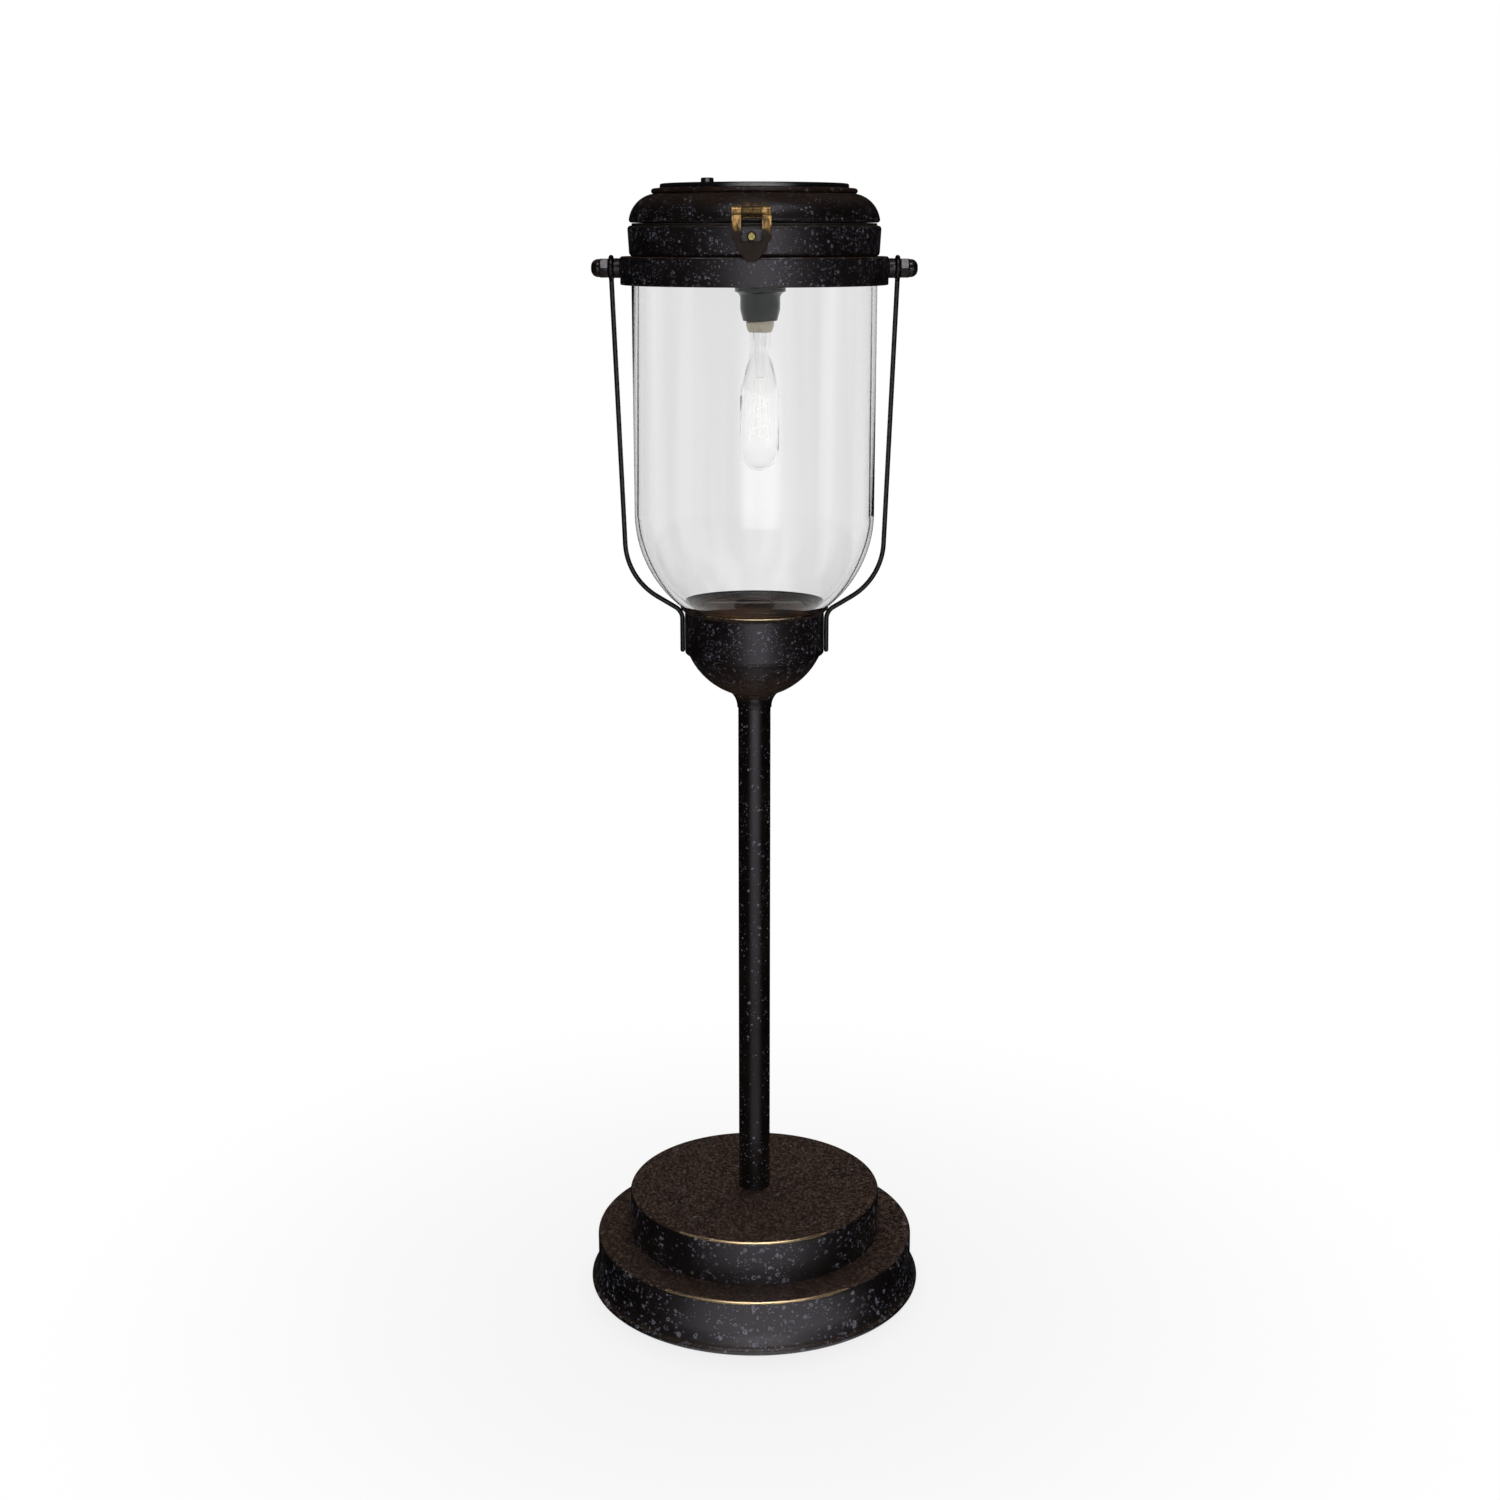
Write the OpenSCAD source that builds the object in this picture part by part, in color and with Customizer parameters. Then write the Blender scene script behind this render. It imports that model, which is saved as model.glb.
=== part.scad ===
// Lantern table lamp: a glass jar hung between a pole-mounted cup and a capped band,
// with a rechargeable light under a hinged, clasped lid. Millimetres, +Z up, front is -Y.
// The origin is the centre of the underside, where the lamp stands.

/* [Base] */
// Radius of the lower tier at its top edge
base_r = 85; // [75:0.5:110]
// Height of the lower tier's top above the table
lower_h = 28.8; // [24:0.2:40]
// How far the foot flares out past the lower tier
foot_flare = 3.8; // [2.5:0.1:6]
// Height over which the foot flares
flare_h = 11; // [8:0.5:14]
// Radius of the rolled wire edge under the foot
bead_r = 1.8; // [1.5:0.1:2.4]
// Radius of the upper tier
upper_r = 67.2; // [45:0.2:72]
// Height of the upper tier
upper_h = 24; // [14:0.5:40]
// Thickness of the spun sheet
sheet = 1.2; // [0.8:0.1:1.6]
// Thickness of the cast weight
weight_t = 15.6; // [10:0.2:17]
// Gap between the weight's rim and the lower tier
weight_gap = 22; // [12:1:35]
// Depth of the felt pad, from the table to the cover plate
felt_t = 4; // [3.6:0.1:5]

/* [Pole] */
// Radius of the pole
pole_r = 8.3; // [7.5:0.1:12]
// Wall of the pole
pole_wall = 1.2; // [1:0.1:2]
// Length of the pole between the base and the bowl collar's web
pole_len = 270.8; // [120:1:500]
// Radius of the tie rod
rod_r = 4; // [3:0.5:5]

/* [Cup] */
// Outer radius of the cup wall
cup_r = 35.2; // [30:0.2:45]
// Height of the cup from its floor flange to its lip
cup_h = 23.6; // [18:0.2:40]
// Depth of the bowl under the cup
bowl_depth = 22.8; // [18:0.2:28]
// Step from the cup wall in to the bowl's rim
bowl_step = 1.45; // [1:0.05:3]
// Depth of the seat plate below the lip
seat_depth = 3.6; // [3:0.2:5]

/* [Jar] */
// Outer radius of the glass jar
jar_r = 59.8; // [50:0.2:75]
// Height of the jar from its foot to its mouth
jar_h = 172.6; // [120:1:240]
// Wall of the glass
glass_t = 2.6; // [2:0.1:4]
// How far the lip of the mouth stands out
lip_bead = 1.6; // [1:0.1:2.2]

/* [Band and wires] */
// Height of the band round the mouth
band_h = 13.4; // [12.5:0.2:20]
// Space between the jar's lip and the band's wall
band_gap = 2.6; // [2.2:0.1:4]
// Radius of the side wires
wire_r = 1.2; // [0.9:0.1:1.6]
// Length of the bush between the band and the wire eye
bush_len = 3.2; // [2:0.2:6]
// How far the wires lean in from the eyes to their lower bends
wire_lean = 4.7; // [1:0.1:8]
// Centreline radius of the large lower bend
arm_bend_r = 32.8; // [26:0.2:36]
// Centreline radius of the small bend at the cup
foot_bend_r = 7; // [6:0.5:9]
// Slope of the wire between its bends, measured from the vertical
arm_angle = 59; // [52:1:64]
// Radius of the pivot studs
stud_r = 2.5; // [2:0.1:3]
// Centreline radius of the wire eyes
eye_r = 5.1; // [4.6:0.1:6]

/* [Cap] */
// Height of the cap ring
ring_h = 14.4; // [13:0.2:22]
// Step from the band in to the cap ring
ring_step = 3.8; // [3:0.2:6]
// Slot seen between the ring and the lid
lid_gap = 1.4; // [1.2:0.1:2]
// Height of the lid's shell
lid_h = 13.4; // [12.6:0.2:20]
// Radius of the lid's shoulder
shoulder_r = 14.2; // [13:0.2:15]
// How far the panel plate is set in from the lid's side
panel_inset = 10.9; // [9:0.1:14]
// Thickness of the panel plate
panel_plate_t = 2.5; // [1.5:0.1:4]
// Step from the panel plate in to the panel frame
frame_step = 4.2; // [2:0.1:6]
// Thickness of the panel frame
frame_t = 2.2; // [1.8:0.1:3]
// Width of the panel frame
frame_w = 10.6; // [10.2:0.1:12]

/* [Hinge and clasp] */
// Radius of the lid hinge's knuckles
hinge_knuckle_r = 2.4; // [2:0.1:3]
// Radius of the lid hinge's pin
hinge_pin_r = 1.2; // [0.9:0.1:1.4]
// Half the width of the lid hinge
hinge_half = 11; // [9:0.5:16]
// Half the width of the hinge's middle knuckle
hinge_mid = 5; // [3:0.5:6]
// Sideways place of the clasp
clasp_x = -1.3; // [-4:0.1:4]
// Height of the clasp's pin above the lid's lower edge
clasp_up = 4.9; // [4.4:0.1:5.5]
// Radius of the clasp's barrel
barrel_r = 1.95; // [1.7:0.05:2.2]
// Radius of the clasp's pin
clasp_pin_r = 0.8; // [0.6:0.05:1]
// Half the width of the clasp's middle barrel
barrel_half = 4.4; // [3.5:0.1:6]
// Width of each hasp strap
strap_w = 4.4; // [3:0.1:5]
// Thickness of the hasp
hasp_t = 1.1; // [0.8:0.1:1.4]
// Radius of the brass catch knob
knob_r = 2.2; // [1.6:0.1:2.6]
// Height of the catch knob above the foot of the cap ring
knob_up = 9.3; // [8.6:0.1:9.8]

/* [Light] */
// Sideways place of the lampholder
holder_x = 2.6; // [-6:0.1:6]
// Length of the lampholder
holder_len = 30.7; // [28:0.1:45]
// Radius of the lampholder's lower body
holder_r = 9.8; // [9:0.1:13]
// Radius of the bulb's screw cap
cap_r = 6.9; // [6:0.1:7]
// How far the bulb's cap shows below the holder
cap_show = 5.4; // [3:0.1:8]
// Largest radius of the bulb
bulb_r = 9.7; // [8:0.1:20]
// Length of the bulb's glass
bulb_len = 71.5; // [60:0.5:100]

/* [Electrics] */
// Radius of a rechargeable cell
cell_r = 7.1; // [5:0.1:7.2]
// Length of a rechargeable cell without its nub
cell_len = 49.2; // [40:0.1:50]
// Radius of the push button
button_r = 3; // [2:0.1:3.2]
// How far the button stands above the panel frame
button_proud = 2; // [1.5:0.1:4]
// Travel of the button
button_travel = 1.2; // [0.5:0.1:1.3]
// Place of the button round the panel frame, as an angle from the right
button_turn = 236.4; // [233:0.2:243]

/* [Hidden] */
$fn = 96;

// Clearance of a pin in its hole
pin_fit = 0.05;
// Clearance between pieces that pass each other
slip = 0.3;
// Height of the foot's rolled edge above the table
foot_lift = 0.4;
// Clearance hole round the tie rod
rod_hole = rod_r + slip;
// How far a wire's straight runs reach into its bends, and how much thinner they are
run_in = 0.4;
run_step = 0.02;

// The rolled edge, and the quarter wave of the flare from it up to the straight wall
bead_x = base_r + foot_flare - bead_r;
bead_z = foot_lift + bead_r;
bead_top = bead_z + bead_r;
flare_step = foot_flare - bead_r + sheet / 2;
flare_run = flare_h - 2;
function flare_r(z) = base_r + flare_step * (1 - sin(90 * (z - bead_top) / flare_run));

// Bend between the wall and the top of a tier
tier_round = 2;

// Heights, from the table up
base_top = lower_h + upper_h;
weight_top = lower_h - sheet;
weight_bottom = weight_top - weight_t;
// Pocket under the weight for the tie rod's nut and washer
pocket_r = rod_r + 9;
pocket_h = 6;
pole_top = base_top + pole_len;
collar_web = 1.6;
bowl_bottom = pole_top + collar_web;
bowl_rim_r = cup_r - bowl_step;
bowl_r = (bowl_rim_r * bowl_rim_r + bowl_depth * bowl_depth) / (2 * bowl_depth);
bowl_cz = bowl_bottom + bowl_r;
cup_z = bowl_bottom + bowl_depth;
cup_top = cup_z + cup_h;
seat_z = cup_top - seat_depth;
pad_t = 1;
jar_z = seat_z + pad_t;
jar_foot_r = cup_r - sheet - 1.2;
jar_cz = jar_z + sqrt(jar_r * jar_r - jar_foot_r * jar_foot_r);
jar_top = jar_z + jar_h;
gasket_t = 0.7;
band_top = jar_top + gasket_t + sheet;
band_z = band_top - band_h;
ring_z = band_top;
ring_top = ring_z + ring_h;
lid_z = ring_top + lid_gap;
lid_top = lid_z + lid_h;
plate_top = lid_top + panel_plate_t;
frame_top = plate_top + frame_t;

// Radii of the cap, from the jar out and in again
jar_in = jar_r - glass_t;
lip_r = jar_r + lip_bead;
band_in = lip_r + band_gap;
band_r = band_in + sheet;
ring_top_r = band_r - ring_step;
ring_foot_r = ring_top_r - 0.6;
lid_r = ring_top_r - 0.7;
shoulder_cx = lid_r + 0.13 - shoulder_r;
shoulder_cz = lid_top + 0.2 - shoulder_r;
plate_r = lid_r - panel_inset;
frame_r = plate_r - frame_step;
window_r = frame_r - frame_w;
cell_side = (window_r - 1) * sqrt(2);
wall_in = ring_foot_r - sheet;
mouth_r = wall_in - 2.6;

// Wires, in the plane that holds both studs
stud_drop = 5.6;
stud_z = band_top - stud_drop;
eye_x = band_r + bush_len + wire_r;
leg_x = cup_r + wire_r + pin_fit;
leg_drop = 6.7;
leg_top = cup_top - leg_drop;
leg_foot = cup_z + 1;
foot_end = [leg_x + foot_bend_r * (1 - cos(arm_angle)), leg_top + foot_bend_r * sin(arm_angle)];
arm_len = (eye_x - wire_lean - arm_bend_r * (1 - cos(arm_angle)) - foot_end[0]) / sin(arm_angle);
arm_end = foot_end + arm_len * [sin(arm_angle), cos(arm_angle)];
arm_c = arm_end + arm_bend_r * [-cos(arm_angle), sin(arm_angle)];
stem_top = [eye_x, stud_z - eye_r];
stem_d = norm(stem_top - arm_c);
stem_turn = atan2(stem_top[1] - arm_c[1], stem_top[0] - arm_c[0]) - acos(arm_bend_r / stem_d);
stem_foot = arm_c + arm_bend_r * [cos(stem_turn), sin(stem_turn)];

// The cap ring's wall leans out from its foot radius to its top radius
foot_round = 2;
top_round = 1.6;
ring_lean = (ring_top_r - ring_foot_r) / (ring_h - foot_round - top_round);
function ring_wall_r(z) = ring_foot_r + ring_lean * (z - ring_z - foot_round);

// The lid's outer line, grown outwards: the rolled lower edge, then the shoulder
lid_roll = 1.3;
lid_edge = shoulder_cx + shoulder_r * cos(asin((lid_z + lid_roll - shoulder_cz) / shoulder_r));
function lid_outline(grow) = concat(
    arc(lid_edge - lid_roll, lid_z + lid_roll, lid_roll + grow, -90, 0, 4),
    arc(shoulder_cx, shoulder_cz, shoulder_r + grow, asin((lid_z + lid_roll - shoulder_cz) / shoulder_r),
        asin((lid_top - shoulder_cz) / shoulder_r), 12)
);

// Hinge and clasp
hinge_y = ring_top_r + hinge_knuckle_r + slip;
rivet_spread = 7.6;
rivet_r = 1;
rivet_tail_r = 1.5;
rivet_tail_h = 0.6;
rivet_head_r = 1.6;
rivet_head_h = 0.95;
ring_rivet_z = ring_z + 6;
leaf_below = 3;
lid_rivet_tilt = 24;
hinge_z = ring_top + lid_gap / 2;
leaf_t = 0.8;
clasp_y = lid_r + 2.4;
clasp_z = lid_z + clasp_up;
knob_z = ring_z + knob_up;
knob_shank_r = 1.2;
hasp_bar_z = knob_z - knob_r - slip;
hasp_bend_z = knob_z + knob_r + slip;
hasp_tip_z = band_top - 1.9;
hasp_in = clasp_y - hasp_t / 2;
hasp_slope = (band_r + 0.35 - hasp_in) / (hasp_bend_z - band_top);
hasp_tip_in = hasp_in + hasp_slope * (hasp_bend_z - hasp_tip_z);
hasp_bar_in = hasp_in + hasp_slope * (hasp_bend_z - hasp_bar_z);
knob_face = hasp_bar_in - 0.4;
hasp_half = barrel_half + slip + strap_w;

// Light
holder_bottom = ring_z - holder_len;
cap_bottom = holder_bottom - cap_show;
bulb_top = cap_bottom + 4;
bulb_bottom = bulb_top - bulb_len;
nipple_r = 5;

// Electrics
pan_floor = ring_z + sheet;
tray_t = 1.4;
tray_half = cell_len / 2 + 4.2;
cell_gap = 0.2;
tray_w = 4 * cell_r + 1 + 2 * (tray_t + cell_gap);
tray_y = nipple_r + 4.6;
cell_z = pan_floor + tray_t + cell_gap + cell_r;
cell_y = [tray_y + tray_t + cell_gap + cell_r, tray_y + tray_w - tray_t - cell_gap - cell_r];
lid_in_top = lid_top - sheet;
button_out = frame_r - frame_w / 2 - 0.6;
button_x = button_out * cos(button_turn);
button_y = button_out * sin(button_turn);
flange_t = 1.6;
plunger_r = 1.7;
plunger_len = 3.9;
flange_z = lid_in_top - slip - flange_t;
switch_top = flange_z - button_travel - 0.4;
board_t = 1.6;
board_top = switch_top - 5.3;
board_z = board_top - board_t;
board_x = button_x + 14;
board_half = [19, 12];
post_in = 3;
screw_ring_r = ring_foot_r - 7.8;
panel_screw_r = frame_r - frame_w / 2;

// Points of an arc from angle a0 to angle a1
function arc(cx, cy, r, a0, a1, n = 8) =
    [for (i = [0:n]) let (a = a0 + (a1 - a0) * i / n) [cx + r * cos(a), cy + r * sin(a)]];
// The same points in the other order
function back(v) = [for (i = [len(v) - 1:-1:0]) v[i]];

module turned(points) {
    rotate_extrude() polygon(points);
}

module ring_of(r_in, r_out, h) {
    difference() {
        cylinder(h = h, r = r_out);
        translate([0, 0, -1]) cylinder(h = h + 2, r = r_in);
    }
}

// A nut, standing on the origin
module hex_nut(flats, h, hole) {
    difference() {
        cylinder(h = h, r = flats / sqrt(3), $fn = 6);
        translate([0, 0, -1]) cylinder(h = h + 2, r = hole);
    }
}

// A bar along X, centred on the origin
module bar_x(r, length) {
    rotate([0, 90, 0]) cylinder(h = length, r = r, center = true);
}

// ---------------------------------------------------------------- base

module lower_tier() {
    wave = [for (i = [0:10]) let (z = bead_top + flare_run * i / 10) [flare_r(z), z]];
    outer = concat([[flare_r(bead_top), bead_z]], wave);
    inner = [for (p = outer) [p[0] - sheet, p[1]]];
    color("#241d1a") union() {
        turned(concat(
            outer, arc(base_r - tier_round, lower_h - tier_round, tier_round, 0, 90, 6),
            [[rod_hole, lower_h], [rod_hole, lower_h - sheet]],
            back(concat(inner, arc(base_r - tier_round, lower_h - tier_round, tier_round - sheet, 0, 90, 6)))
        ));
        rotate_extrude() translate([bead_x, bead_z]) circle(r = bead_r, $fn = 24);
    }
}

module upper_tier() {
    color("#2b2019") turned(concat(
        [[upper_r - sheet, lower_h], [upper_r, lower_h]],
        arc(upper_r - tier_round, base_top - tier_round, tier_round, 0, 90, 6),
        [[rod_hole, base_top], [rod_hole, base_top - sheet]],
        arc(upper_r - tier_round, base_top - tier_round, tier_round - sheet, 90, 0, 6)
    ));
}

module cast_weight() {
    r = base_r - weight_gap;
    foot_cut = 3;
    top_cut = 2;
    color("#3a3a3c") difference() {
        turned([
            [rod_hole, weight_bottom], [r - foot_cut, weight_bottom], [r, weight_bottom + foot_cut],
            [r, weight_top - top_cut], [r - top_cut, weight_top], [rod_hole, weight_top]
        ]);
        translate([0, 0, weight_bottom - 1]) cylinder(h = pocket_h + 1, r = pocket_r);
    }
}

module cover_plate() {
    color("#55565a") translate([0, 0, felt_t])
        cylinder(h = sheet, r = flare_r(felt_t + sheet) - sheet - 2 * pin_fit);
}

module felt_pad() {
    color("#1d1d1f") cylinder(h = felt_t, r = bead_x - bead_r - slip);
}

module tier_spacer() {
    spacer_in = rod_hole + 2;
    spacer_wall = 3;
    color("#77787c") translate([0, 0, lower_h]) ring_of(spacer_in, spacer_in + spacer_wall, upper_h - sheet);
}

// ---------------------------------------------------------------- pole and tie rod

rod_nut_h = 6.5;
rod_nut_flats = 2 * rod_r + 5;
rod_tail = 1.5;
washer_t = 1.6;
low_washer_z = weight_bottom + pocket_h - washer_t;
low_washer_r = rod_r + 7;
high_washer_r = rod_r + 6;
bowl_in_r = bowl_r - sheet;
high_washer_z = bowl_cz - sqrt(bowl_in_r * bowl_in_r - high_washer_r * high_washer_r) + pin_fit;

module tie_rod() {
    foot = low_washer_z - rod_nut_h - rod_tail;
    head = high_washer_z + washer_t + rod_nut_h + rod_tail + slip;
    color("#8d8f93") translate([0, 0, foot])
        cylinder(h = head - foot, r = rod_r);
}

module rod_nuts() {
    color("#8d8f93") {
        translate([0, 0, low_washer_z - rod_nut_h]) hex_nut(rod_nut_flats, rod_nut_h, rod_r + pin_fit);
        translate([0, 0, high_washer_z + washer_t]) hex_nut(rod_nut_flats, rod_nut_h, rod_r + pin_fit);
    }
}

module rod_washers() {
    color("#9a9b9e") {
        translate([0, 0, low_washer_z]) ring_of(rod_hole, low_washer_r, washer_t);
        translate([0, 0, high_washer_z]) ring_of(rod_hole, high_washer_r, washer_t);
    }
}

module pole() {
    color("#1f1b1a") translate([0, 0, base_top]) ring_of(pole_r - pole_wall, pole_r, pole_len);
}

// ---------------------------------------------------------------- cup

module bowl_collar() {
    horn_r = 10.5;
    horn_turn = 55.2;
    skirt_h = 5.8;
    foot_r = pole_r + 0.5;
    foot_z = bowl_bottom - skirt_h;
    horn = [for (i = [0:8]) let (a = horn_turn * i / 8)
        [foot_r + horn_r * (1 - cos(a)), foot_z + horn_r * sin(a)]];
    color("#211b19") difference() {
        turned(concat(
            [[pole_r + pin_fit, foot_z]],
            horn,
            [[rod_hole, foot_z + horn_r * sin(horn_turn)], [rod_hole, pole_top], [pole_r + pin_fit, pole_top]]
        ));
        translate([0, 0, bowl_cz]) sphere(r = bowl_r + pin_fit);
    }
}

module bowl() {
    low = asin(rod_hole / bowl_r) - 90;
    low_in = asin(rod_hole / bowl_in_r) - 90;
    rim = -acos(bowl_rim_r / bowl_r);
    rim_in = -asin((bowl_cz - cup_z) / bowl_in_r);
    color("#1e1a19") turned(concat(
        arc(0, bowl_cz, bowl_r, low, rim, 18),
        arc(0, bowl_cz, bowl_in_r, rim_in, low_in, 18)
    ));
}

module cup() {
    // The lip stands just clear of the jar, which passes through it
    lip_in = sqrt(jar_r * jar_r - pow(jar_cz - cup_top, 2)) + slip + pin_fit;
    lip_h = 2.6;
    edge = 0.3;
    heel = 0.4;
    wall = cup_r - sheet;
    floor_in = wall - 3.5;
    color("#211b19") turned([
        [floor_in, cup_z], [cup_r - heel, cup_z], [cup_r, cup_z + heel], [cup_r, cup_top - lip_h],
        [lip_in + sheet, cup_top - edge], [lip_in + sheet - edge, cup_top], [lip_in, cup_top],
        [wall, cup_top - lip_h], [wall, cup_z + sheet], [floor_in, cup_z + sheet]
    ]);
}

module seat_plate() {
    r = cup_r - sheet - slip;
    bend = 1.5;
    bend_in = 0.8;
    color("#3b2a1e") turned([
        [0, seat_z - sheet], [r - sheet - bend_in, seat_z - sheet], [r - sheet, seat_z - sheet - bend_in],
        [r - sheet, cup_z + sheet], [r, cup_z + sheet], [r, seat_z - bend], [r - bend, seat_z], [0, seat_z]
    ]);
}

module seat_pad() {
    pad_in = rod_r + 2;
    color("#4a3323") translate([0, 0, seat_z]) ring_of(pad_in, jar_foot_r - 0.8, pad_t);
}

// ---------------------------------------------------------------- jar

module glass_jar() {
    turn = asin((jar_cz - jar_z) / jar_r);
    floor_z = jar_z + glass_t + 0.6;
    turn_in = asin((jar_cz - floor_z) / jar_in);
    lip_h = 5.6;
    lip_z = jar_top - lip_h;
    // The foot is pushed up inside a standing ring
    push_up = 0.8;
    stand_w = 6;
    round_out = 1;
    round_in = 0.8;
    color("#d9dedd", 0.35) turned(concat(
        [[0, jar_z + push_up], [jar_foot_r - stand_w - 2, jar_z + push_up], [jar_foot_r - stand_w, jar_z]],
        arc(0, jar_cz, jar_r, -turn, 0, 20),
        [[jar_r, lip_z], [lip_r, lip_z + lip_bead]],
        [[lip_r, jar_top - round_out], [lip_r - round_out, jar_top]],
        [[jar_in + round_in, jar_top], [jar_in, jar_top - round_in]],
        arc(0, jar_cz, jar_in, 0, -turn_in, 20),
        [[0, floor_z]]
    ));
}

module jar_gasket() {
    skirt_in = lip_r + 2 * pin_fit;
    skirt_out = skirt_in + 1.1;
    skirt_z = jar_top - 5;
    color("#202022") turned([
        [skirt_in, skirt_z], [skirt_out, skirt_z], [skirt_out, jar_top + gasket_t],
        [jar_in, jar_top + gasket_t], [jar_in, jar_top], [skirt_in, jar_top]
    ]);
}

module band() {
    flange_in = jar_in - 9.2;
    edge = sheet / 2;
    bend = 1;
    color("#211c1b") difference() {
        turned(concat(
            [[band_in, band_z + edge], [band_in + edge, band_z], [band_r, band_z]],
            arc(band_r - bend, band_top - bend, bend, 0, 90, 4),
            [[flange_in, band_top], [flange_in, band_top - sheet], [band_in, band_top - sheet]]
        ));
        for (side = [-1, 1]) translate([side * band_r, 0, stud_z]) bar_x(stud_r + pin_fit, 8);
        cap_screw_places() translate([0, 0, band_top - 5]) cylinder(h = 10, r = cap_screw_r + 2 * pin_fit);
    }
}

// ---------------------------------------------------------------- wires and studs

// A straight run of wire, let into the bends at its ends
module wire_run(a, b) {
    d = b - a;
    translate([a[0], 0, a[1]]) rotate([0, atan2(d[0], d[1]), 0]) translate([0, 0, -run_in])
        cylinder(h = norm(d) + 2 * run_in, r = wire_r - run_step, $fn = 32);
}

// A bend in the plane of the wires, from angle a0 to a1 round c
module wire_bend(c, r, a0, a1) {
    translate([c[0], 0, c[1]]) rotate([90, 0, 0]) rotate([0, 0, a0])
        rotate_extrude(angle = a1 - a0) translate([r, 0]) circle(r = wire_r, $fn = 32);
}

module side_wire() {
    color("#191716") union() {
        wire_run([leg_x, leg_foot], [leg_x, leg_top]);
        wire_bend([leg_x + foot_bend_r, leg_top], foot_bend_r, 180 - arm_angle, 180);
        wire_run(foot_end, arm_end);
        wire_bend(arm_c, arm_bend_r, -arm_angle, stem_turn);
        wire_run(stem_foot, stem_top);
        translate([eye_x, 0, stud_z]) rotate([0, 90, 0])
            rotate_extrude() translate([eye_r, 0]) circle(r = wire_r, $fn = 32);
    }
}

module wire_right() {
    side_wire();
}

module wire_left() {
    mirror([1, 0, 0]) side_wire();
}

nut_flats = 2 * stud_r + 4;
nut_hex_len = 4.3;
nut_dome_len = 4.3;
nut_x = eye_x + wire_r;
thread_len = 6;

module both_sides() {
    children();
    mirror([1, 0, 0]) children();
}

module pivot_studs() {
    head_x = band_in - 0.13;
    head_t = 0.8;
    head_r = stud_r + 1.5;
    color("#2a2523") both_sides() {
        translate([head_x, 0, stud_z]) rotate([0, 90, 0])
            cylinder(h = nut_x + thread_len - head_x, r = stud_r);
        translate([head_x - head_t, 0, stud_z]) rotate([0, 90, 0]) cylinder(h = head_t, r = head_r);
    }
}

module stud_bushes() {
    color("#1f1b1a") both_sides() translate([band_r, 0, stud_z]) rotate([0, 90, 0])
        ring_of(stud_r + pin_fit, stud_r + 2.2, bush_len);
}

module acorn_nuts() {
    flat_r = nut_flats / 2;
    corner_r = nut_flats / sqrt(3);
    cut = 0.6;
    dome_r = flat_r - 0.2;
    dome_top = nut_hex_len + nut_dome_len;
    dome_round = dome_r - 0.9;
    color("#1c1918") both_sides() translate([nut_x, 0, stud_z]) rotate([0, 90, 0]) difference() {
        union() {
            intersection() {
                cylinder(h = nut_hex_len, r = corner_r, $fn = 6);
                turned([
                    [0, 0], [flat_r, 0], [corner_r, cut],
                    [corner_r, nut_hex_len - cut], [flat_r, nut_hex_len], [0, nut_hex_len]
                ]);
            }
            turned(concat(
                [[0, 1], [dome_r, 1]],
                arc(dome_r - dome_round, dome_top - dome_round, dome_round, 0, 90, 6),
                [[0, dome_top]]
            ));
        }
        translate([0, 0, -1]) cylinder(h = thread_len + 1.5, r = stud_r + pin_fit);
    }
}

// ---------------------------------------------------------------- cap ring

cap_screw_r = 1.5;
cap_nut_h = 2.4;
pan_round = foot_round - sheet;

module cap_screw_places() {
    for (a = [30, 150, 270]) rotate([0, 0, a]) translate([screw_ring_r, 0, 0]) children();
}

module cap_ring() {
    color("#221d1c") difference() {
        turned(concat(
            [[0, ring_z]],
            arc(ring_foot_r - foot_round, ring_z + foot_round, foot_round, -90, 0, 5),
            arc(ring_top_r - top_round, ring_top - top_round, top_round, 0, 90, 5),
            [[mouth_r, ring_top], [mouth_r, ring_top - sheet], [wall_in, ring_top - sheet]],
            arc(wall_in - pan_round, pan_floor + pan_round, pan_round, 0, -90, 4),
            [[0, pan_floor]]
        ));
        translate([holder_x, 0, ring_z - 1]) cylinder(h = 4, r = nipple_r + pin_fit);
        cap_screw_places() translate([0, 0, ring_z - 1]) cylinder(h = 4, r = cap_screw_r + 2 * pin_fit);
        translate([clasp_x, -wall_in, knob_z]) rotate([90, 0, 0])
            cylinder(h = 8, r = knob_shank_r + pin_fit, center = true);
        ring_rivet_places() rivet_hole();
    }
}

module cap_screws() {
    head_r = cap_screw_r + 1.3;
    head_h = 2;
    length = 6;
    color("#6d6e72") cap_screw_places() translate([0, 0, pan_floor]) {
        turned([
            [0, 0], [head_r, 0], [head_r, 0.45 * head_h], [0.75 * head_r, 0.85 * head_h],
            [0.36 * head_r, head_h], [0, head_h]
        ]);
        translate([0, 0, -length]) cylinder(h = length + head_h / 4, r = cap_screw_r);
    }
}

module cap_nuts() {
    flats = 2 * cap_screw_r + 2.5;
    color("#6d6e72") cap_screw_places() translate([0, 0, band_top - sheet - cap_nut_h])
        hex_nut(flats, cap_nut_h, cap_screw_r + pin_fit);
}

module lid_seal() {
    seal_in = mouth_r + 0.2;
    seal_w = 2.2;
    color("#1b1b1d") translate([0, 0, ring_top]) ring_of(seal_in, seal_in + seal_w, lid_gap - slip);
}

// ---------------------------------------------------------------- lid hinge

// The lid's outer shape as a solid, grown outwards
module lid_solid(grow) {
    turned(concat([[0, lid_z - grow]], lid_outline(grow), [[0, lid_top + grow]]));
}

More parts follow.
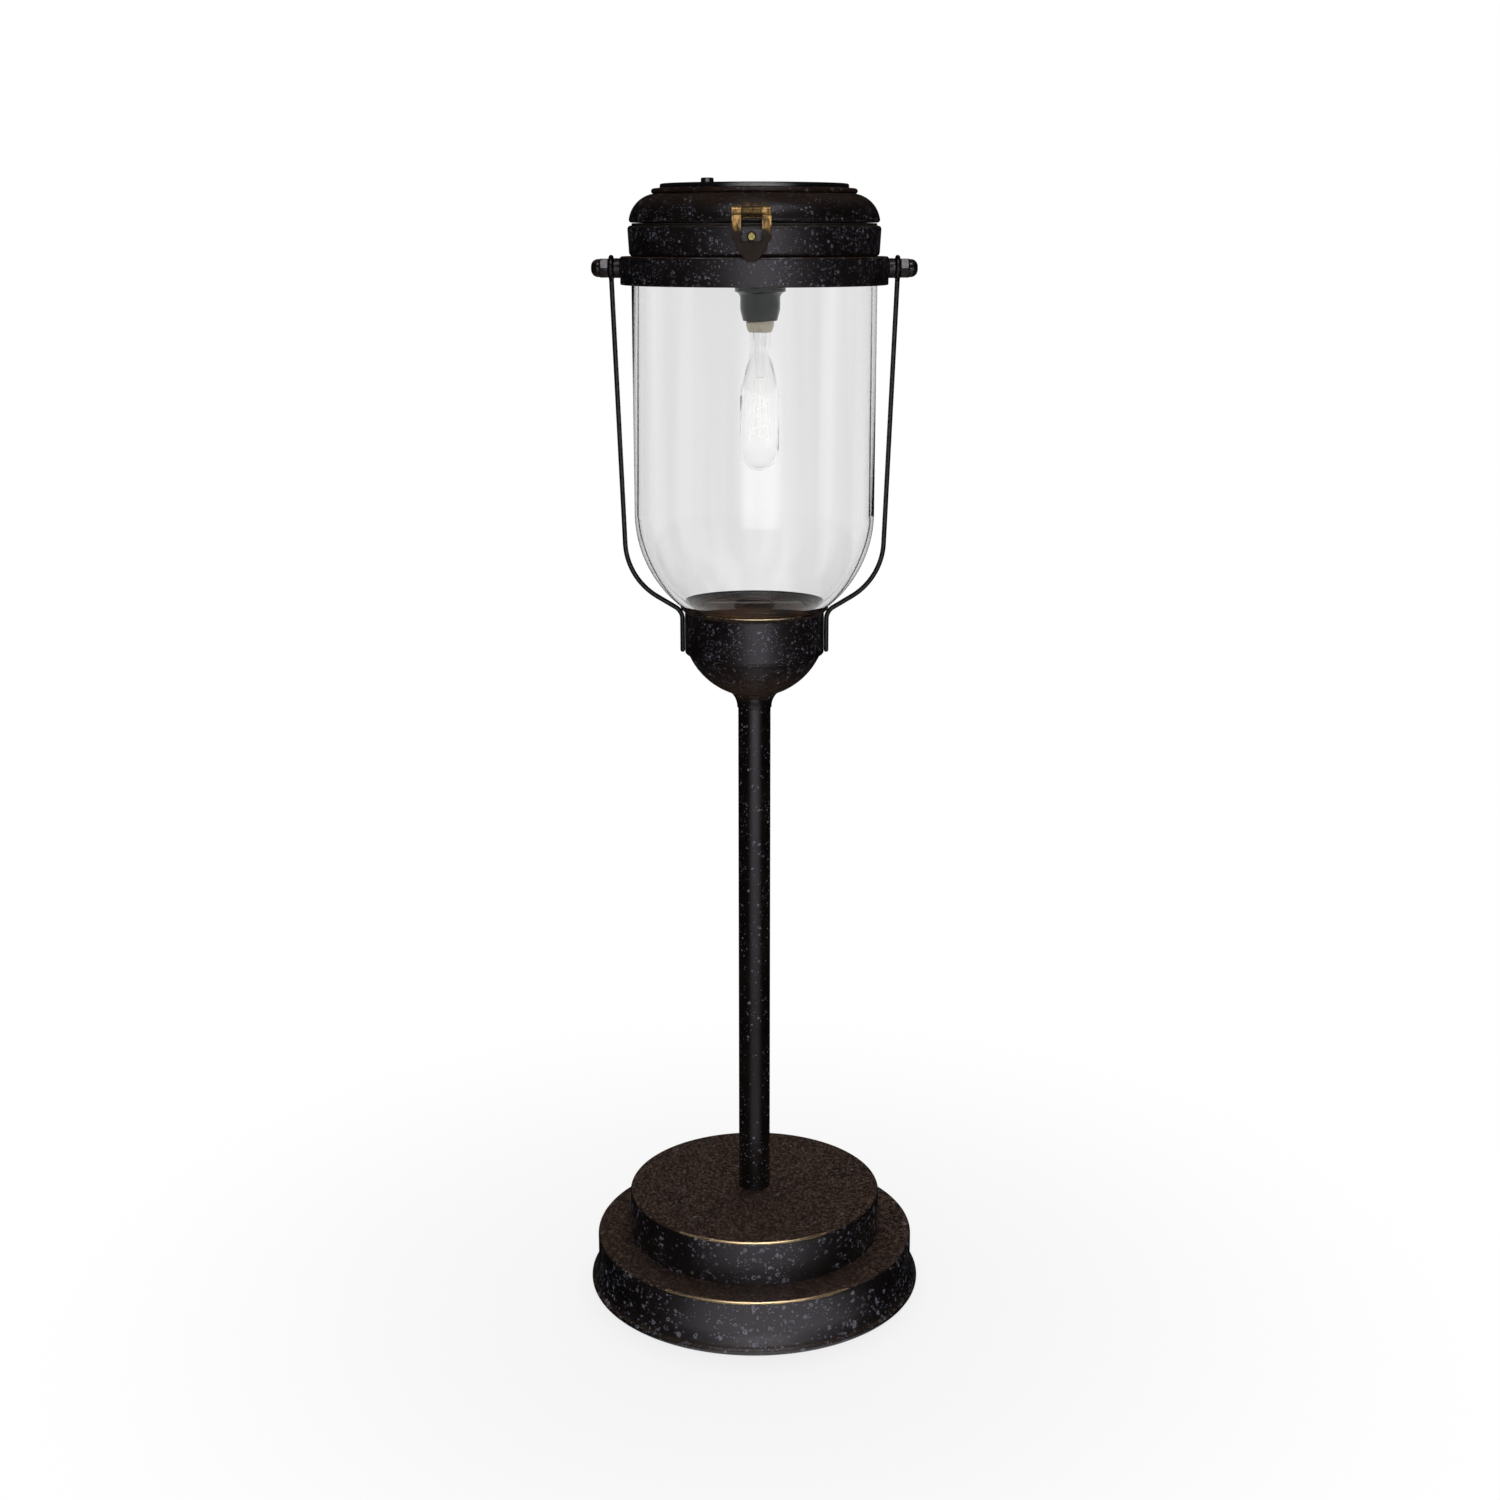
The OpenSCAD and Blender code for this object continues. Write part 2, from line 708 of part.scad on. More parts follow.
// Sheet of thickness t that lies on the lid's side, towards +Y, from height z0 to z1
module lid_leaf(half, z0, z1, t) {
    intersection() {
        lid_solid(t);
        translate([-half, lid_r / 2, z0]) cube([2 * half, lid_r, z1 - z0]);
    }
}

// Where the rivets' heads sit on the ring's leaf, outwards along +Y
module ring_rivet_places() {
    for (side = [-1, 1]) rotate([0, 0, side * rivet_spread])
        translate([0, ring_wall_r(ring_rivet_z) + pin_fit + leaf_t, ring_rivet_z])
            rotate([-atan(ring_lean), 0, 0]) children();
}

// Where the rivets' heads sit on the lid's leaf, square to the lid's shoulder
module lid_rivet_places() {
    for (side = [-1, 1]) rotate([0, 0, side * rivet_spread])
        translate([0, shoulder_cx, shoulder_cz]) rotate([lid_rivet_tilt, 0, 0])
            translate([0, shoulder_r + leaf_t, 0]) children();
}

module rivet_hole() {
    rotate([90, 0, 0]) cylinder(h = 10, r = rivet_r + pin_fit, center = true);
}

// A rivet along Y: its head lies outside, its tail inside the wall
module rivet(depth) {
    rotate([-90, 0, 0]) {
        translate([0, 0, -depth]) cylinder(h = depth, r = rivet_r);
        turned([
            [0, 0], [rivet_head_r, 0], [rivet_head_r - 0.1, 0.5 * rivet_head_h],
            [0.62 * rivet_head_r, 0.85 * rivet_head_h], [0, rivet_head_h]
        ]);
        translate([0, 0, -depth - rivet_tail_h]) cylinder(h = rivet_tail_h, r = rivet_tail_r);
    }
}

module hinge_leaf_ring() {
    z0 = ring_rivet_z - leaf_below;
    z1 = ring_top - 2.2;
    web_h = 5;
    r0 = ring_wall_r(z0) + pin_fit;
    r1 = ring_wall_r(z1) + pin_fit;
    color("#1f1b1a") difference() {
        union() {
            intersection() {
                turned([[r0, z0], [r0 + leaf_t, z0], [r1 + leaf_t, z1], [r1, z1]]);
                translate([-hinge_half, 0, z0 - 1]) cube([2 * hinge_half, 2 * ring_top_r, z1 - z0 + 2]);
            }
            translate([0, hinge_y, hinge_z]) bar_x(hinge_knuckle_r, 2 * hinge_mid);
            translate([-hinge_mid, 0, 0]) rotate([90, 0, 90]) linear_extrude(2 * hinge_mid) polygon([
                [r0 + leaf_t / 2, z1 - web_h], [r0 + leaf_t, z1 - web_h], [hinge_y + 1.8, hinge_z - 1.5],
                [hinge_y, hinge_z], [hinge_y - 1.2, hinge_z - 2], [r1 + leaf_t / 2, z1]
            ]);
        }
        translate([0, hinge_y, hinge_z]) bar_x(hinge_pin_r + pin_fit, 4 * hinge_mid);
        ring_rivet_places() rivet_hole();
    }
}

module hinge_leaf_lid() {
    outer_len = hinge_half - hinge_mid - slip;
    outer_mid = hinge_mid + slip + outer_len / 2;
    foot = lid_z + 1;
    leaf_h = 7;
    web_z = hinge_z + 1.3;
    web_t = 1.1;
    web_in = lid_r - 1.5;
    color("#1f1b1a") difference() {
        union() {
            lid_leaf(hinge_half, foot, foot + leaf_h, leaf_t);
            for (side = [-1, 1]) translate([side * outer_mid, 0, 0]) {
                translate([0, hinge_y, hinge_z]) bar_x(hinge_knuckle_r, outer_len);
                translate([-outer_len / 2, web_in, web_z]) cube([outer_len, hinge_y - web_in, web_t]);
            }
        }
        lid_solid(pin_fit);
        translate([0, hinge_y, hinge_z]) bar_x(hinge_pin_r + pin_fit, 3 * hinge_half);
        lid_rivet_places() rivet_hole();
    }
}

module hinge_pin() {
    head_t = 0.8;
    head_r = hinge_pin_r + 0.6;
    color("#6b5a3c") translate([0, hinge_y, hinge_z]) {
        bar_x(hinge_pin_r, 2 * (hinge_half + slip + head_t / 2));
        for (side = [-1, 1]) translate([side * (hinge_half + slip + head_t / 2), 0, 0]) bar_x(head_r, head_t);
    }
}

module hinge_rivets_ring() {
    wall = ring_wall_r(ring_rivet_z) - wall_in;
    color("#4a3f30") ring_rivet_places() rivet(leaf_t + wall + rivet_tail_r * ring_lean + 3 * pin_fit);
}

module hinge_rivets_lid() {
    color("#4a3f30") lid_rivet_places() rivet(leaf_t + sheet + 2 * pin_fit);
}

// ---------------------------------------------------------------- lid

panel_screw_shank = 1.25;
panel_screw_hole = panel_screw_shank + pin_fit;
lead_hole_r = 6;
ledge_h = 0.7;

module panel_screw_places() {
    for (a = [60, 180, 300]) rotate([0, 0, a]) translate([panel_screw_r, 0, 0]) children();
}

module lid_shell() {
    in_r = shoulder_r - sheet;
    in_first = asin((lid_z + lid_roll - shoulder_cz) / in_r);
    in_last = asin((lid_in_top - shoulder_cz) / in_r);
    color("#2a201b") difference() {
        turned(concat(
            [[mouth_r, lid_z]], lid_outline(0), [[0, lid_top], [0, lid_in_top]],
            arc(shoulder_cx, shoulder_cz, in_r, in_last, in_first, 12),
            [[mouth_r, lid_z + lid_roll]]
        ));
        translate([0, 0, lid_top - 5]) cylinder(h = 10, r = lead_hole_r);
        translate([button_x, button_y, lid_top - 5]) cylinder(h = 10, r = button_r + slip);
        panel_screw_places() translate([0, 0, lid_top - 5]) cylinder(h = 10, r = panel_screw_hole);
        lid_rivet_places() rivet_hole();
    }
}

module panel_plate() {
    edge = panel_plate_t / 2;
    color("#1f1c1c") difference() {
        turned(concat(
            [[0, lid_top]], arc(plate_r - edge, lid_top + edge, edge, -90, 90, 8), [[0, plate_top]]
        ));
        translate([0, 0, lid_top - 1]) cylinder(h = panel_plate_t + 2, r = lead_hole_r);
        translate([button_x, button_y, lid_top - 1]) cylinder(h = panel_plate_t + 2, r = button_r + slip);
        panel_screw_places() translate([0, 0, lid_top - 1])
            cylinder(h = panel_plate_t + 2, r = panel_screw_hole);
    }
}

module panel_frame() {
    ledge_w = 0.8;
    edge = 0.5;
    pocket_r = window_r + 2 * pin_fit;
    color("#15151a") difference() {
        turned([
            [window_r - ledge_w, plate_top], [frame_r, plate_top], [frame_r, frame_top - edge],
            [frame_r - edge, frame_top], [pocket_r, frame_top],
            [pocket_r, plate_top + ledge_h], [window_r - ledge_w, plate_top + ledge_h]
        ]);
        translate([button_x, button_y, plate_top - 1]) cylinder(h = frame_t + 2, r = button_r + slip);
        panel_screw_places() translate([0, 0, plate_top - 1]) cylinder(h = sheet + 1, r = panel_screw_hole);
    }
}

module panel_window() {
    color("#8fa0b8", 0.4) translate([0, 0, plate_top + ledge_h])
        cylinder(h = frame_t - ledge_h - slip, r = window_r);
}

module solar_cell() {
    cell_t = 0.5;
    color("#1a2340") translate([-cell_side / 2, -cell_side / 2, plate_top])
        cube([cell_side, cell_side, cell_t]);
}

module panel_screws() {
    head_h = 1.6;
    head_r = panel_screw_shank + 1.05;
    color("#6d6e72") panel_screw_places() translate([0, 0, lid_in_top]) {
        translate([0, 0, -head_h]) cylinder(h = head_h, r = head_r);
        cylinder(h = sheet + panel_plate_t + 1, r = panel_screw_shank);
    }
}

// ---------------------------------------------------------------- electrics in the lid

charger_chip = [8, 5, 1.6];
driver_chip = [5, 3.2, 1.3];
capacitor_r = 2;
capacitor_h = 3.6;
board_screw_r = 1.2;
screw_grip = 4;

// Three corners of the board, all but the one that the lid's shoulder would meet
module board_places() {
    for (corner = [[1, -1], [1, 1], [-1, 1]])
        translate([board_x + corner[0] * (board_half[0] - post_in),
            button_y + corner[1] * (board_half[1] - post_in), 0])
            children();
}

module circuit_board() {
    color("#2f5d3a") difference() {
        union() {
            translate([board_x - board_half[0], button_y - board_half[1], board_z])
                cube([2 * board_half[0], 2 * board_half[1], board_t]);
            translate([board_x + 4, button_y - 4, board_top - 0.1]) cube(charger_chip);
            translate([board_x - 1, button_y + 4, board_top - 0.1]) cube(driver_chip);
            translate([board_x + 9, button_y + 5, board_top - 0.1])
                cylinder(h = capacitor_h, r = capacitor_r);
        }
        board_places() translate([0, 0, board_z - 1])
            cylinder(h = board_t + 2, r = board_screw_r + 3 * pin_fit);
    }
}

module board_posts() {
    post_r = board_screw_r + 1.1;
    color("#b08d4a") board_places() difference() {
        translate([0, 0, board_top]) cylinder(h = lid_in_top - board_top, r = post_r, $fn = 6);
        translate([0, 0, board_top - 1]) cylinder(h = screw_grip + 2.5, r = board_screw_r + pin_fit);
    }
}

module board_screws() {
    head_h = 1.4;
    head_r = board_screw_r + 1;
    color("#8a8b8f") board_places() {
        translate([0, 0, board_z - head_h]) cylinder(h = head_h, r = head_r);
        translate([0, 0, board_z]) cylinder(h = board_t + screw_grip, r = board_screw_r);
    }
}

module switch_body() {
    half = 3.6;
    floor_t = 1.3;
    color("#26262a") difference() {
        translate([button_x - half, button_y - half, board_top])
            cube([2 * half, 2 * half, switch_top - board_top]);
        translate([button_x, button_y, board_top + floor_t]) cylinder(h = 10, r = plunger_r + slip);
    }
}

module push_button() {
    foot = flange_z - plunger_len;
    top = frame_top + button_proud;
    tip = 0.2;
    edge = 0.5;
    flange_r = button_r + 1.2;
    color("#161618") translate([button_x, button_y, 0]) {
        turned([
            [0, foot], [plunger_r - tip, foot], [plunger_r, foot + tip], [plunger_r, flange_z],
            [flange_r, flange_z], [flange_r, flange_z + flange_t], [button_r, flange_z + flange_t],
            [button_r, top - edge], [button_r - edge, top], [0, top]
        ]);
    }
}

// ---------------------------------------------------------------- clasp

module clasp_plate() {
    half = barrel_half + 3.4;
    plate_t = 0.7;
    plate_h = 9.6;
    web_t = 2;
    roll_r = 0.6;
    color("#2d251d") mirror([0, 1, 0]) difference() {
        union() {
            translate([clasp_x, 0, 0]) {
                translate([0, clasp_y, clasp_z]) bar_x(barrel_r, 2 * barrel_half);
                translate([-barrel_half, lid_r - 2, clasp_z - web_t / 2])
                    cube([2 * barrel_half, clasp_y - lid_r + 2, web_t]);
                translate([0, lid_r + roll_r + 0.15, lid_z + 2]) bar_x(roll_r, 2 * barrel_half);
            }
            intersection() {
                lid_solid(plate_t);
                translate([clasp_x - half, lid_r / 2, lid_z + 1.6]) cube([2 * half, lid_r, plate_h]);
            }
        }
        lid_solid(pin_fit);
        translate([clasp_x, clasp_y, clasp_z]) bar_x(clasp_pin_r + pin_fit, 4 * barrel_half);
    }
}

module clasp_pin() {
    color("#8a6a34") translate([clasp_x, -clasp_y, clasp_z]) bar_x(clasp_pin_r, 2 * hasp_half + 0.2);
}

module hasp() {
    mid_w = hasp_half - 1.6;
    tip_w = 4.2;
    color("#8a6a34") translate([clasp_x, 0, 0]) difference() {
        union() {
            // The formed strip, seen from the side, cut to the hasp's front outline
            intersection() {
                rotate([90, 0, 90]) translate([0, 0, -hasp_half]) linear_extrude(2 * hasp_half) polygon([
                    [-hasp_in, clasp_z], [-hasp_in, hasp_bend_z], [-hasp_tip_in, hasp_tip_z],
                    [-hasp_tip_in - hasp_t, hasp_tip_z], [-hasp_in - hasp_t, hasp_bend_z],
                    [-hasp_in - hasp_t, clasp_z]
                ]);
                translate([0, -hasp_in + 5, 0]) rotate([90, 0, 0]) linear_extrude(20) polygon(concat(
                    [[-hasp_half, clasp_z + 1], [-hasp_half, hasp_bar_z + 1.6]],
                    [[-mid_w, hasp_bar_z - 0.8], [-mid_w + 0.4, hasp_bar_z - 3.2]],
                    arc(0, hasp_tip_z + tip_w - 0.5, tip_w, 200, 340, 8),
                    [[mid_w - 0.4, hasp_bar_z - 3.2], [mid_w, hasp_bar_z - 0.8]],
                    [[hasp_half, hasp_bar_z + 1.6], [hasp_half, clasp_z + 1]]
                ));
            }
            for (side = [-1, 1]) translate([side * (hasp_half - strap_w / 2), -clasp_y, clasp_z])
                bar_x(barrel_r, strap_w);
        }
        translate([-barrel_half - slip, -clasp_y - 5, hasp_bar_z])
            cube([2 * (barrel_half + slip), 10, clasp_z - hasp_bar_z + 5]);
        translate([0, -clasp_y, clasp_z]) bar_x(clasp_pin_r + pin_fit, 3 * hasp_half);
    }
}

module catch_knob() {
    face_y = ring_wall_r(knob_z) + pin_fit;
    neck = knob_face - face_y;
    wall = face_y - wall_in + 3 * pin_fit;
    tail_t = 0.7;
    edge = 0.5;
    dome = 1.1;
    color("#d8a53c") translate([clasp_x, -face_y, knob_z]) rotate([90, 0, 0]) {
        translate([0, 0, -wall - 0.1]) cylinder(h = wall + 0.2, r = knob_shank_r);
        turned(concat(
            [[0, 0], [knob_r - edge, 0], [knob_r, edge]],
            [[knob_r, neck - dome]], arc(knob_r - dome, neck - dome, dome, 20, 90, 4), [[0, neck]]
        ));
        translate([0, 0, -wall - tail_t]) cylinder(h = tail_t, r = knob_shank_r + 0.6);
    }
}

// ---------------------------------------------------------------- light

module lampholder() {
    shoulder = ring_z - 13;
    top_r = holder_r + 2.7;
    neck_round = 3.4;
    mouth_round = 2.4;
    nipple_top = ring_z + 7.5;
    socket_h = 21;
    lead_r = 3.2;
    color("#14201b") translate([holder_x, 0, 0]) difference() {
        turned(concat(
            [[0, holder_bottom], [holder_r - 1.4, holder_bottom]],
            arc(holder_r - mouth_round, holder_bottom + 5.6, mouth_round, -30, 0, 3),
            [[holder_r, shoulder - 7]],
            arc(holder_r + neck_round, shoulder - 7, neck_round, 180, 102, 5),
            [[top_r, shoulder - 3], [top_r, ring_z]],
            [[nipple_r, ring_z], [nipple_r, nipple_top], [0, nipple_top]]
        ));
        translate([0, 0, holder_bottom - 1]) cylinder(h = socket_h + 1, r = cap_r + pin_fit);
        translate([0, 0, ring_z - 12]) cylinder(h = 30, r = lead_r);
    }
}

module holder_nut() {
    flats = 2 * nipple_r + 4;
    nut_h = 3.2;
    color("#9a9b9e") translate([holder_x, 0, pan_floor]) hex_nut(flats, nut_h, nipple_r + pin_fit);
}

module bulb_cap() {
    shell = 0.5;
    depth = cap_show + 16;
    pitch = 2.6;
    thread_h = 0.9;
    thread_z = cap_bottom + 5.8;
    // The rolled screw thread, as rings down the shell
    thread = [for (i = [0:4], s = [0, 1]) [cap_r - thread_h * s, thread_z + pitch * (i + s / 2)]];
    color("#c9b27a") translate([holder_x, 0, 0]) turned(concat(
        [[cap_r - 1.3 - shell, cap_bottom], [cap_r - 1.3, cap_bottom], [cap_r - 0.4, cap_bottom + 1.4]],
        [[cap_r - 0.1, cap_bottom + 4]], thread,
        [[cap_r - 1.2, cap_bottom + depth - 1]],
        [[2.4, cap_bottom + depth + 1.6], [0, cap_bottom + depth + 1.6]],
        [[0, cap_bottom + depth], [cap_r - 2, cap_bottom + depth - 3], [cap_r - 2, cap_bottom + 4.2]],
        [[cap_r - 1.3 - shell, cap_bottom + 4.2]]
    ));
}

// The bulb's side at t from 0 at the neck to 1 at the full width
function bulb_side(t, inset) = [
    neck_r + (bulb_r - neck_r) * (1 - cos(180 * t)) / 2 - inset,
    bulb_top - 11 - bulb_len * 0.34 * t
];
neck_r = cap_r - 1.3 - 0.5 - 0.1;
bulb_wall = 0.7;
stem_len = 26;
bulb_end_h = 12;

module bulb_glass() {
    side = [for (i = [0:8]) bulb_side(i / 8, 0)];
    side_in = [for (i = [0:8]) bulb_side(i / 8, bulb_wall)];
    end_z = bulb_bottom + bulb_end_h;
    end = [for (a = [0:10:90]) [bulb_r * cos(a), end_z - bulb_end_h * sin(a)]];
    end_in = [for (a = [0:10:90]) [(bulb_r - bulb_wall) * cos(a), end_z - (bulb_end_h - bulb_wall) * sin(a)]];
    color("#e6e8e6", 0.3) translate([holder_x, 0, 0]) turned(concat(
        [[neck_r - bulb_wall, bulb_top], [neck_r, bulb_top]], side, end, back(end_in), back(side_in)
    ));
}

module bulb_stem() {
    flare = neck_r - bulb_wall - 0.1;
    color("#dfe3e1", 0.5) translate([holder_x, 0, 0]) turned([
        [0, bulb_top - 1], [flare, bulb_top - 1], [flare - 0.6, bulb_top - 4], [2.6, bulb_top - 11],
        [2.4, bulb_top - stem_len + 1], [2, bulb_top - stem_len], [0, bulb_top - stem_len]
    ]);
}

// A straight strand in the plane of the bulb's wires, stopping short of both its ends
module strand(a, b, r, short_a, short_b) {
    d = b - a;
    translate([a[0], 0, a[1]]) rotate([0, atan2(d[0], d[1]), 0]) translate([0, 0, short_a])
        cylinder(h = norm(d) - short_a - short_b, r = r, $fn = 16);
}

module filament() {
    top = bulb_top - stem_len;
    low = bulb_bottom + bulb_end_h + 2;
    hook = [0, low + 3];
    spread_top = 1.4;
    spread_low = 5;
    support_r = 0.5;
    lead_r = 0.35;
    coil_r = 0.3;
    color("#6e655a") translate([holder_x, 0, 0]) {
        strand([0, top], hook, support_r, 0, 0);
        for (side = [-1, 1]) {
            strand([side * spread_top, top], [side * spread_low, low], lead_r, 0, 0);
            strand([side * spread_low, low], hook, coil_r, 0.45, 2 * coil_r);
        }
    }
}

// ---------------------------------------------------------------- battery

module battery_tray() {
    wall_h = cell_r + 3;
    color("#1c1c20") translate([0, tray_y, pan_floor]) difference() {
        translate([-tray_half, 0, 0]) cube([2 * tray_half, tray_w, tray_t + wall_h]);
        for (y = cell_y) translate([-tray_half + tray_t, y - tray_y - cell_r - cell_gap, tray_t])
            cube([2 * (tray_half - tray_t), 2 * (cell_r + cell_gap), wall_h + 1]);
    }
}

cell_shift = 0.6;

module battery_cells() {
    nub_r = 2.7;
    nub_len = 1.1;
    color("#4f7f5a") for (i = [0, 1]) translate([0, cell_y[i], cell_z]) mirror([i, 0, 0]) {
        translate([-cell_len / 2 - cell_shift, 0, 0]) rotate([0, 90, 0]) cylinder(h = cell_len, r = cell_r);
        translate([cell_len / 2 - cell_shift, 0, 0]) rotate([0, 90, 0]) cylinder(h = nub_len, r = nub_r);
    }
}

module battery_contacts() {
    plate = 0.5;
    leaf = [plate, 8, 9];
    spring_r = 2.4;
    stop_r = 2;
    nub_end = cell_len / 2 + 0.5;
    reach = tray_half - tray_t;
    color("#b9babd") for (i = [0, 1]) translate([0, cell_y[i], cell_z]) mirror([i, 0, 0]) {
        translate([reach - plate, -4, -5]) cube(leaf);
        translate([-reach, -4, -5]) cube(leaf);
        translate([-reach, 0, 0]) rotate([0, 90, 0])
            cylinder(h = reach - cell_len / 2 - cell_shift, r = spring_r);
        translate([nub_end, 0, 0]) rotate([0, 90, 0]) cylinder(h = reach - nub_end, r = stop_r);
    }
}

lower_tier();
upper_tier();
cast_weight();
cover_plate();
felt_pad();
tier_spacer();
tie_rod();
rod_nuts();
rod_washers();
pole();
bowl_collar();
bowl();
cup();
seat_plate();
seat_pad();
wire_left();
wire_right();
glass_jar();
jar_gasket();
band();
pivot_studs();
stud_bushes();
acorn_nuts();
cap_ring();
cap_screws();
cap_nuts();
lid_seal();
hinge_leaf_ring();
hinge_leaf_lid();
hinge_pin();
hinge_rivets_ring();
hinge_rivets_lid();
lid_shell();
panel_plate();
panel_frame();
panel_window();
solar_cell();
panel_screws();
circuit_board();
board_posts();
board_screws();
switch_body();
push_button();
clasp_plate();
clasp_pin();
hasp();
catch_knob();
lampholder();
holder_nut();
bulb_cap();
bulb_glass();
bulb_stem();
filament();
battery_tray();
battery_cells();
battery_contacts();
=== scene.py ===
"""Studio scene of a cordless lantern table lamp, dressed round its packed solids.

Sizes in the classes are millimetres. Every mesh is written in metres in the frame's own axes: +Z is up, -Y is
the front with the clasp, +X is to the right seen from the front.
"""

from __future__ import annotations

import logging
import math
from collections.abc import Callable, Sequence
from dataclasses import dataclass, field
from enum import Enum
from typing import Any

import bmesh
import bpy
import numpy as np
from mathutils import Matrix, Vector


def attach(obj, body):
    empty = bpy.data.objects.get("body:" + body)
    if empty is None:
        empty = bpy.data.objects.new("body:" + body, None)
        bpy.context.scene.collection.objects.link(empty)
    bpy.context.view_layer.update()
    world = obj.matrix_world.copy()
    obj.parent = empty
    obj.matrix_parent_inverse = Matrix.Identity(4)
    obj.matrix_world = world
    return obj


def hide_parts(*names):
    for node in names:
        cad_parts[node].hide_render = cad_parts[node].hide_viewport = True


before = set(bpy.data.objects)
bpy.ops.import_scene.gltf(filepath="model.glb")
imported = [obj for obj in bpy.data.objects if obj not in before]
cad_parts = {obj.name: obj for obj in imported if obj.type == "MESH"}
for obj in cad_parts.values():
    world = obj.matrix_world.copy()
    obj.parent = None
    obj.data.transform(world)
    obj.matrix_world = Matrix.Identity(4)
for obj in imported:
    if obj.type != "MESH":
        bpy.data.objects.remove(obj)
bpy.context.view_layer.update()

MM = 0.001
LOG = logging.getLogger("lantern")
Array = np.ndarray
Socket = bpy.types.NodeSocket
Corner = tuple[float, ...]
ON_AXIS = (0.0, 0.0)
WHITE = (1.0, 1.0, 1.0, 1.0)

# Scales that turn a place in a piece's own coordinates into metres or millimetres.
METRES = (1.0, 1.0, 1.0)
MILLIMETRES = (1000.0, 1000.0, 1000.0)


class Body(Enum):
    """The rigid bodies that pieces ride on."""

    STAND = "stand"
    LID = "lid"
    HASP = "hasp"
    BUTTON = "button"


def linear(colour: str) -> tuple[float, float, float, float]:
    """Turns a colour written as #rrggbb into the linear values that shaders take.

    Args:
        colour: The colour as it should appear on screen.

    Returns:
        Red, green, blue and an alpha of 1.
    """
    parts = np.array([int(colour[i : i + 2], 16) for i in (1, 3, 5)]) / 255.0
    bright = np.where(parts <= 0.04045, parts / 12.92, ((parts + 0.055) / 1.055) ** 2.4)
    return (*bright.tolist(), 1.0)


# ------------------------------------------------------------------------------------------------ surfaces


def pairs(across: Array, up: Array) -> list[Corner]:
    """The points (across, up) of two arrays, as sharp corners of an outline."""
    return list(zip(across.tolist(), up.tolist()))


def arc(cx: float, cz: float, r: float, first: float, last: float, steps: int) -> list[Corner]:
    """Points of an arc round (cx, cz) from angle first to angle last, in degrees."""
    a = np.radians(np.linspace(first, last, steps + 1))
    return pairs(cx + r * np.cos(a), cz + r * np.sin(a))


def outline(corners: Sequence[Corner], closed: bool = True, steps: int = 6) -> tuple[Array, Array]:
    """Rounds the corners of a polyline.

    The arc at a corner touches both its sides. Where the direction turns by t, it leaves the first side
    radius * tan(t / 2) before the corner, and its points are the start moved along the two directions by
    radius * sin(a) and radius * (1 - cos(a)) for a from 0 to t.

    Args:
        corners: Each corner as (across, up), (across, up, radius) or (across, up, radius, wear).
        closed: True if the last corner joins the first.
        steps: Pieces in each arc.

    Returns:
        The points, and how worn each of them is, from 0 to 1.
    """
    places = np.array([c[:2] for c in corners], float)
    points, wear = [], []
    for i, corner in enumerate(corners):
        radius = corner[2] if len(corner) > 2 else 0.0
        worn = corner[3] if len(corner) > 3 else 0.0
        here = places[i]
        if radius <= 0 or (not closed and i in (0, len(corners) - 1)):
            points.append(here)
            wear.append(worn)
            continue
        before, after = here - places[i - 1], places[(i + 1) % len(corners)] - here
        before, after = before / np.linalg.norm(before), after / np.linalg.norm(after)
        turn = math.acos(float(np.clip(before @ after, -1, 1)))
        side = after - before * (before @ after)
        side /= max(np.linalg.norm(side), 1e-12)
        start = here - before * radius * math.tan(turn / 2)
        if worn:
            points.append(start - before * 0.35 * radius)
            wear.append(0.0)
        a = np.linspace(0, turn, steps + 1)
        bend = start + radius * (np.outer(np.sin(a), before) + np.outer(1 - np.cos(a), side))
        points.extend(bend)
        wear.extend((worn * np.sin(np.linspace(0, math.pi, steps + 1)) ** 1.2).tolist())
        if worn:
            points.append(bend[-1] + after * 0.35 * radius)
            wear.append(0.0)
    return np.array(points), np.array(wear)


def hollow(inner: float, outer: float, low: float, high: float, bend: float) -> list[Corner]:
    """The section of a plain ring whose four edges are rounded."""
    return [(inner, low, bend), (outer, low, bend), (outer, high, bend), (inner, high, bend)]


def turned(profile: Array, around: int, centre: tuple[float, float] = ON_AXIS) -> Array:
    """Turns a profile about an upright axis: (r, z) goes to (r cos a, r sin a, z) at each angle a.

    Args:
        profile: Points (r, z) from one end to the other.
        around: Columns round the axis.
        centre: Where the axis stands.

    Returns:
        The grid of points, one row for each point of the profile.
    """
    a = np.linspace(0, 2 * np.pi, around, endpoint=False)
    x = centre[0] + np.outer(profile[:, 0], np.cos(a))
    y = centre[1] + np.outer(profile[:, 0], np.sin(a))
    z = np.repeat(profile[:, 1:], around, axis=1)
    return np.stack([x, y, z], -1)


def aimed(grid: Array, origin: Sequence[float], axis: Sequence[float]) -> Array:
    """Turns a grid made round +Z so that +Z points along axis, then moves it to origin."""
    turn = Vector((0, 0, 1)).rotation_difference(Vector(axis)).to_matrix()
    return grid @ np.array(turn).T + np.array(origin, float)


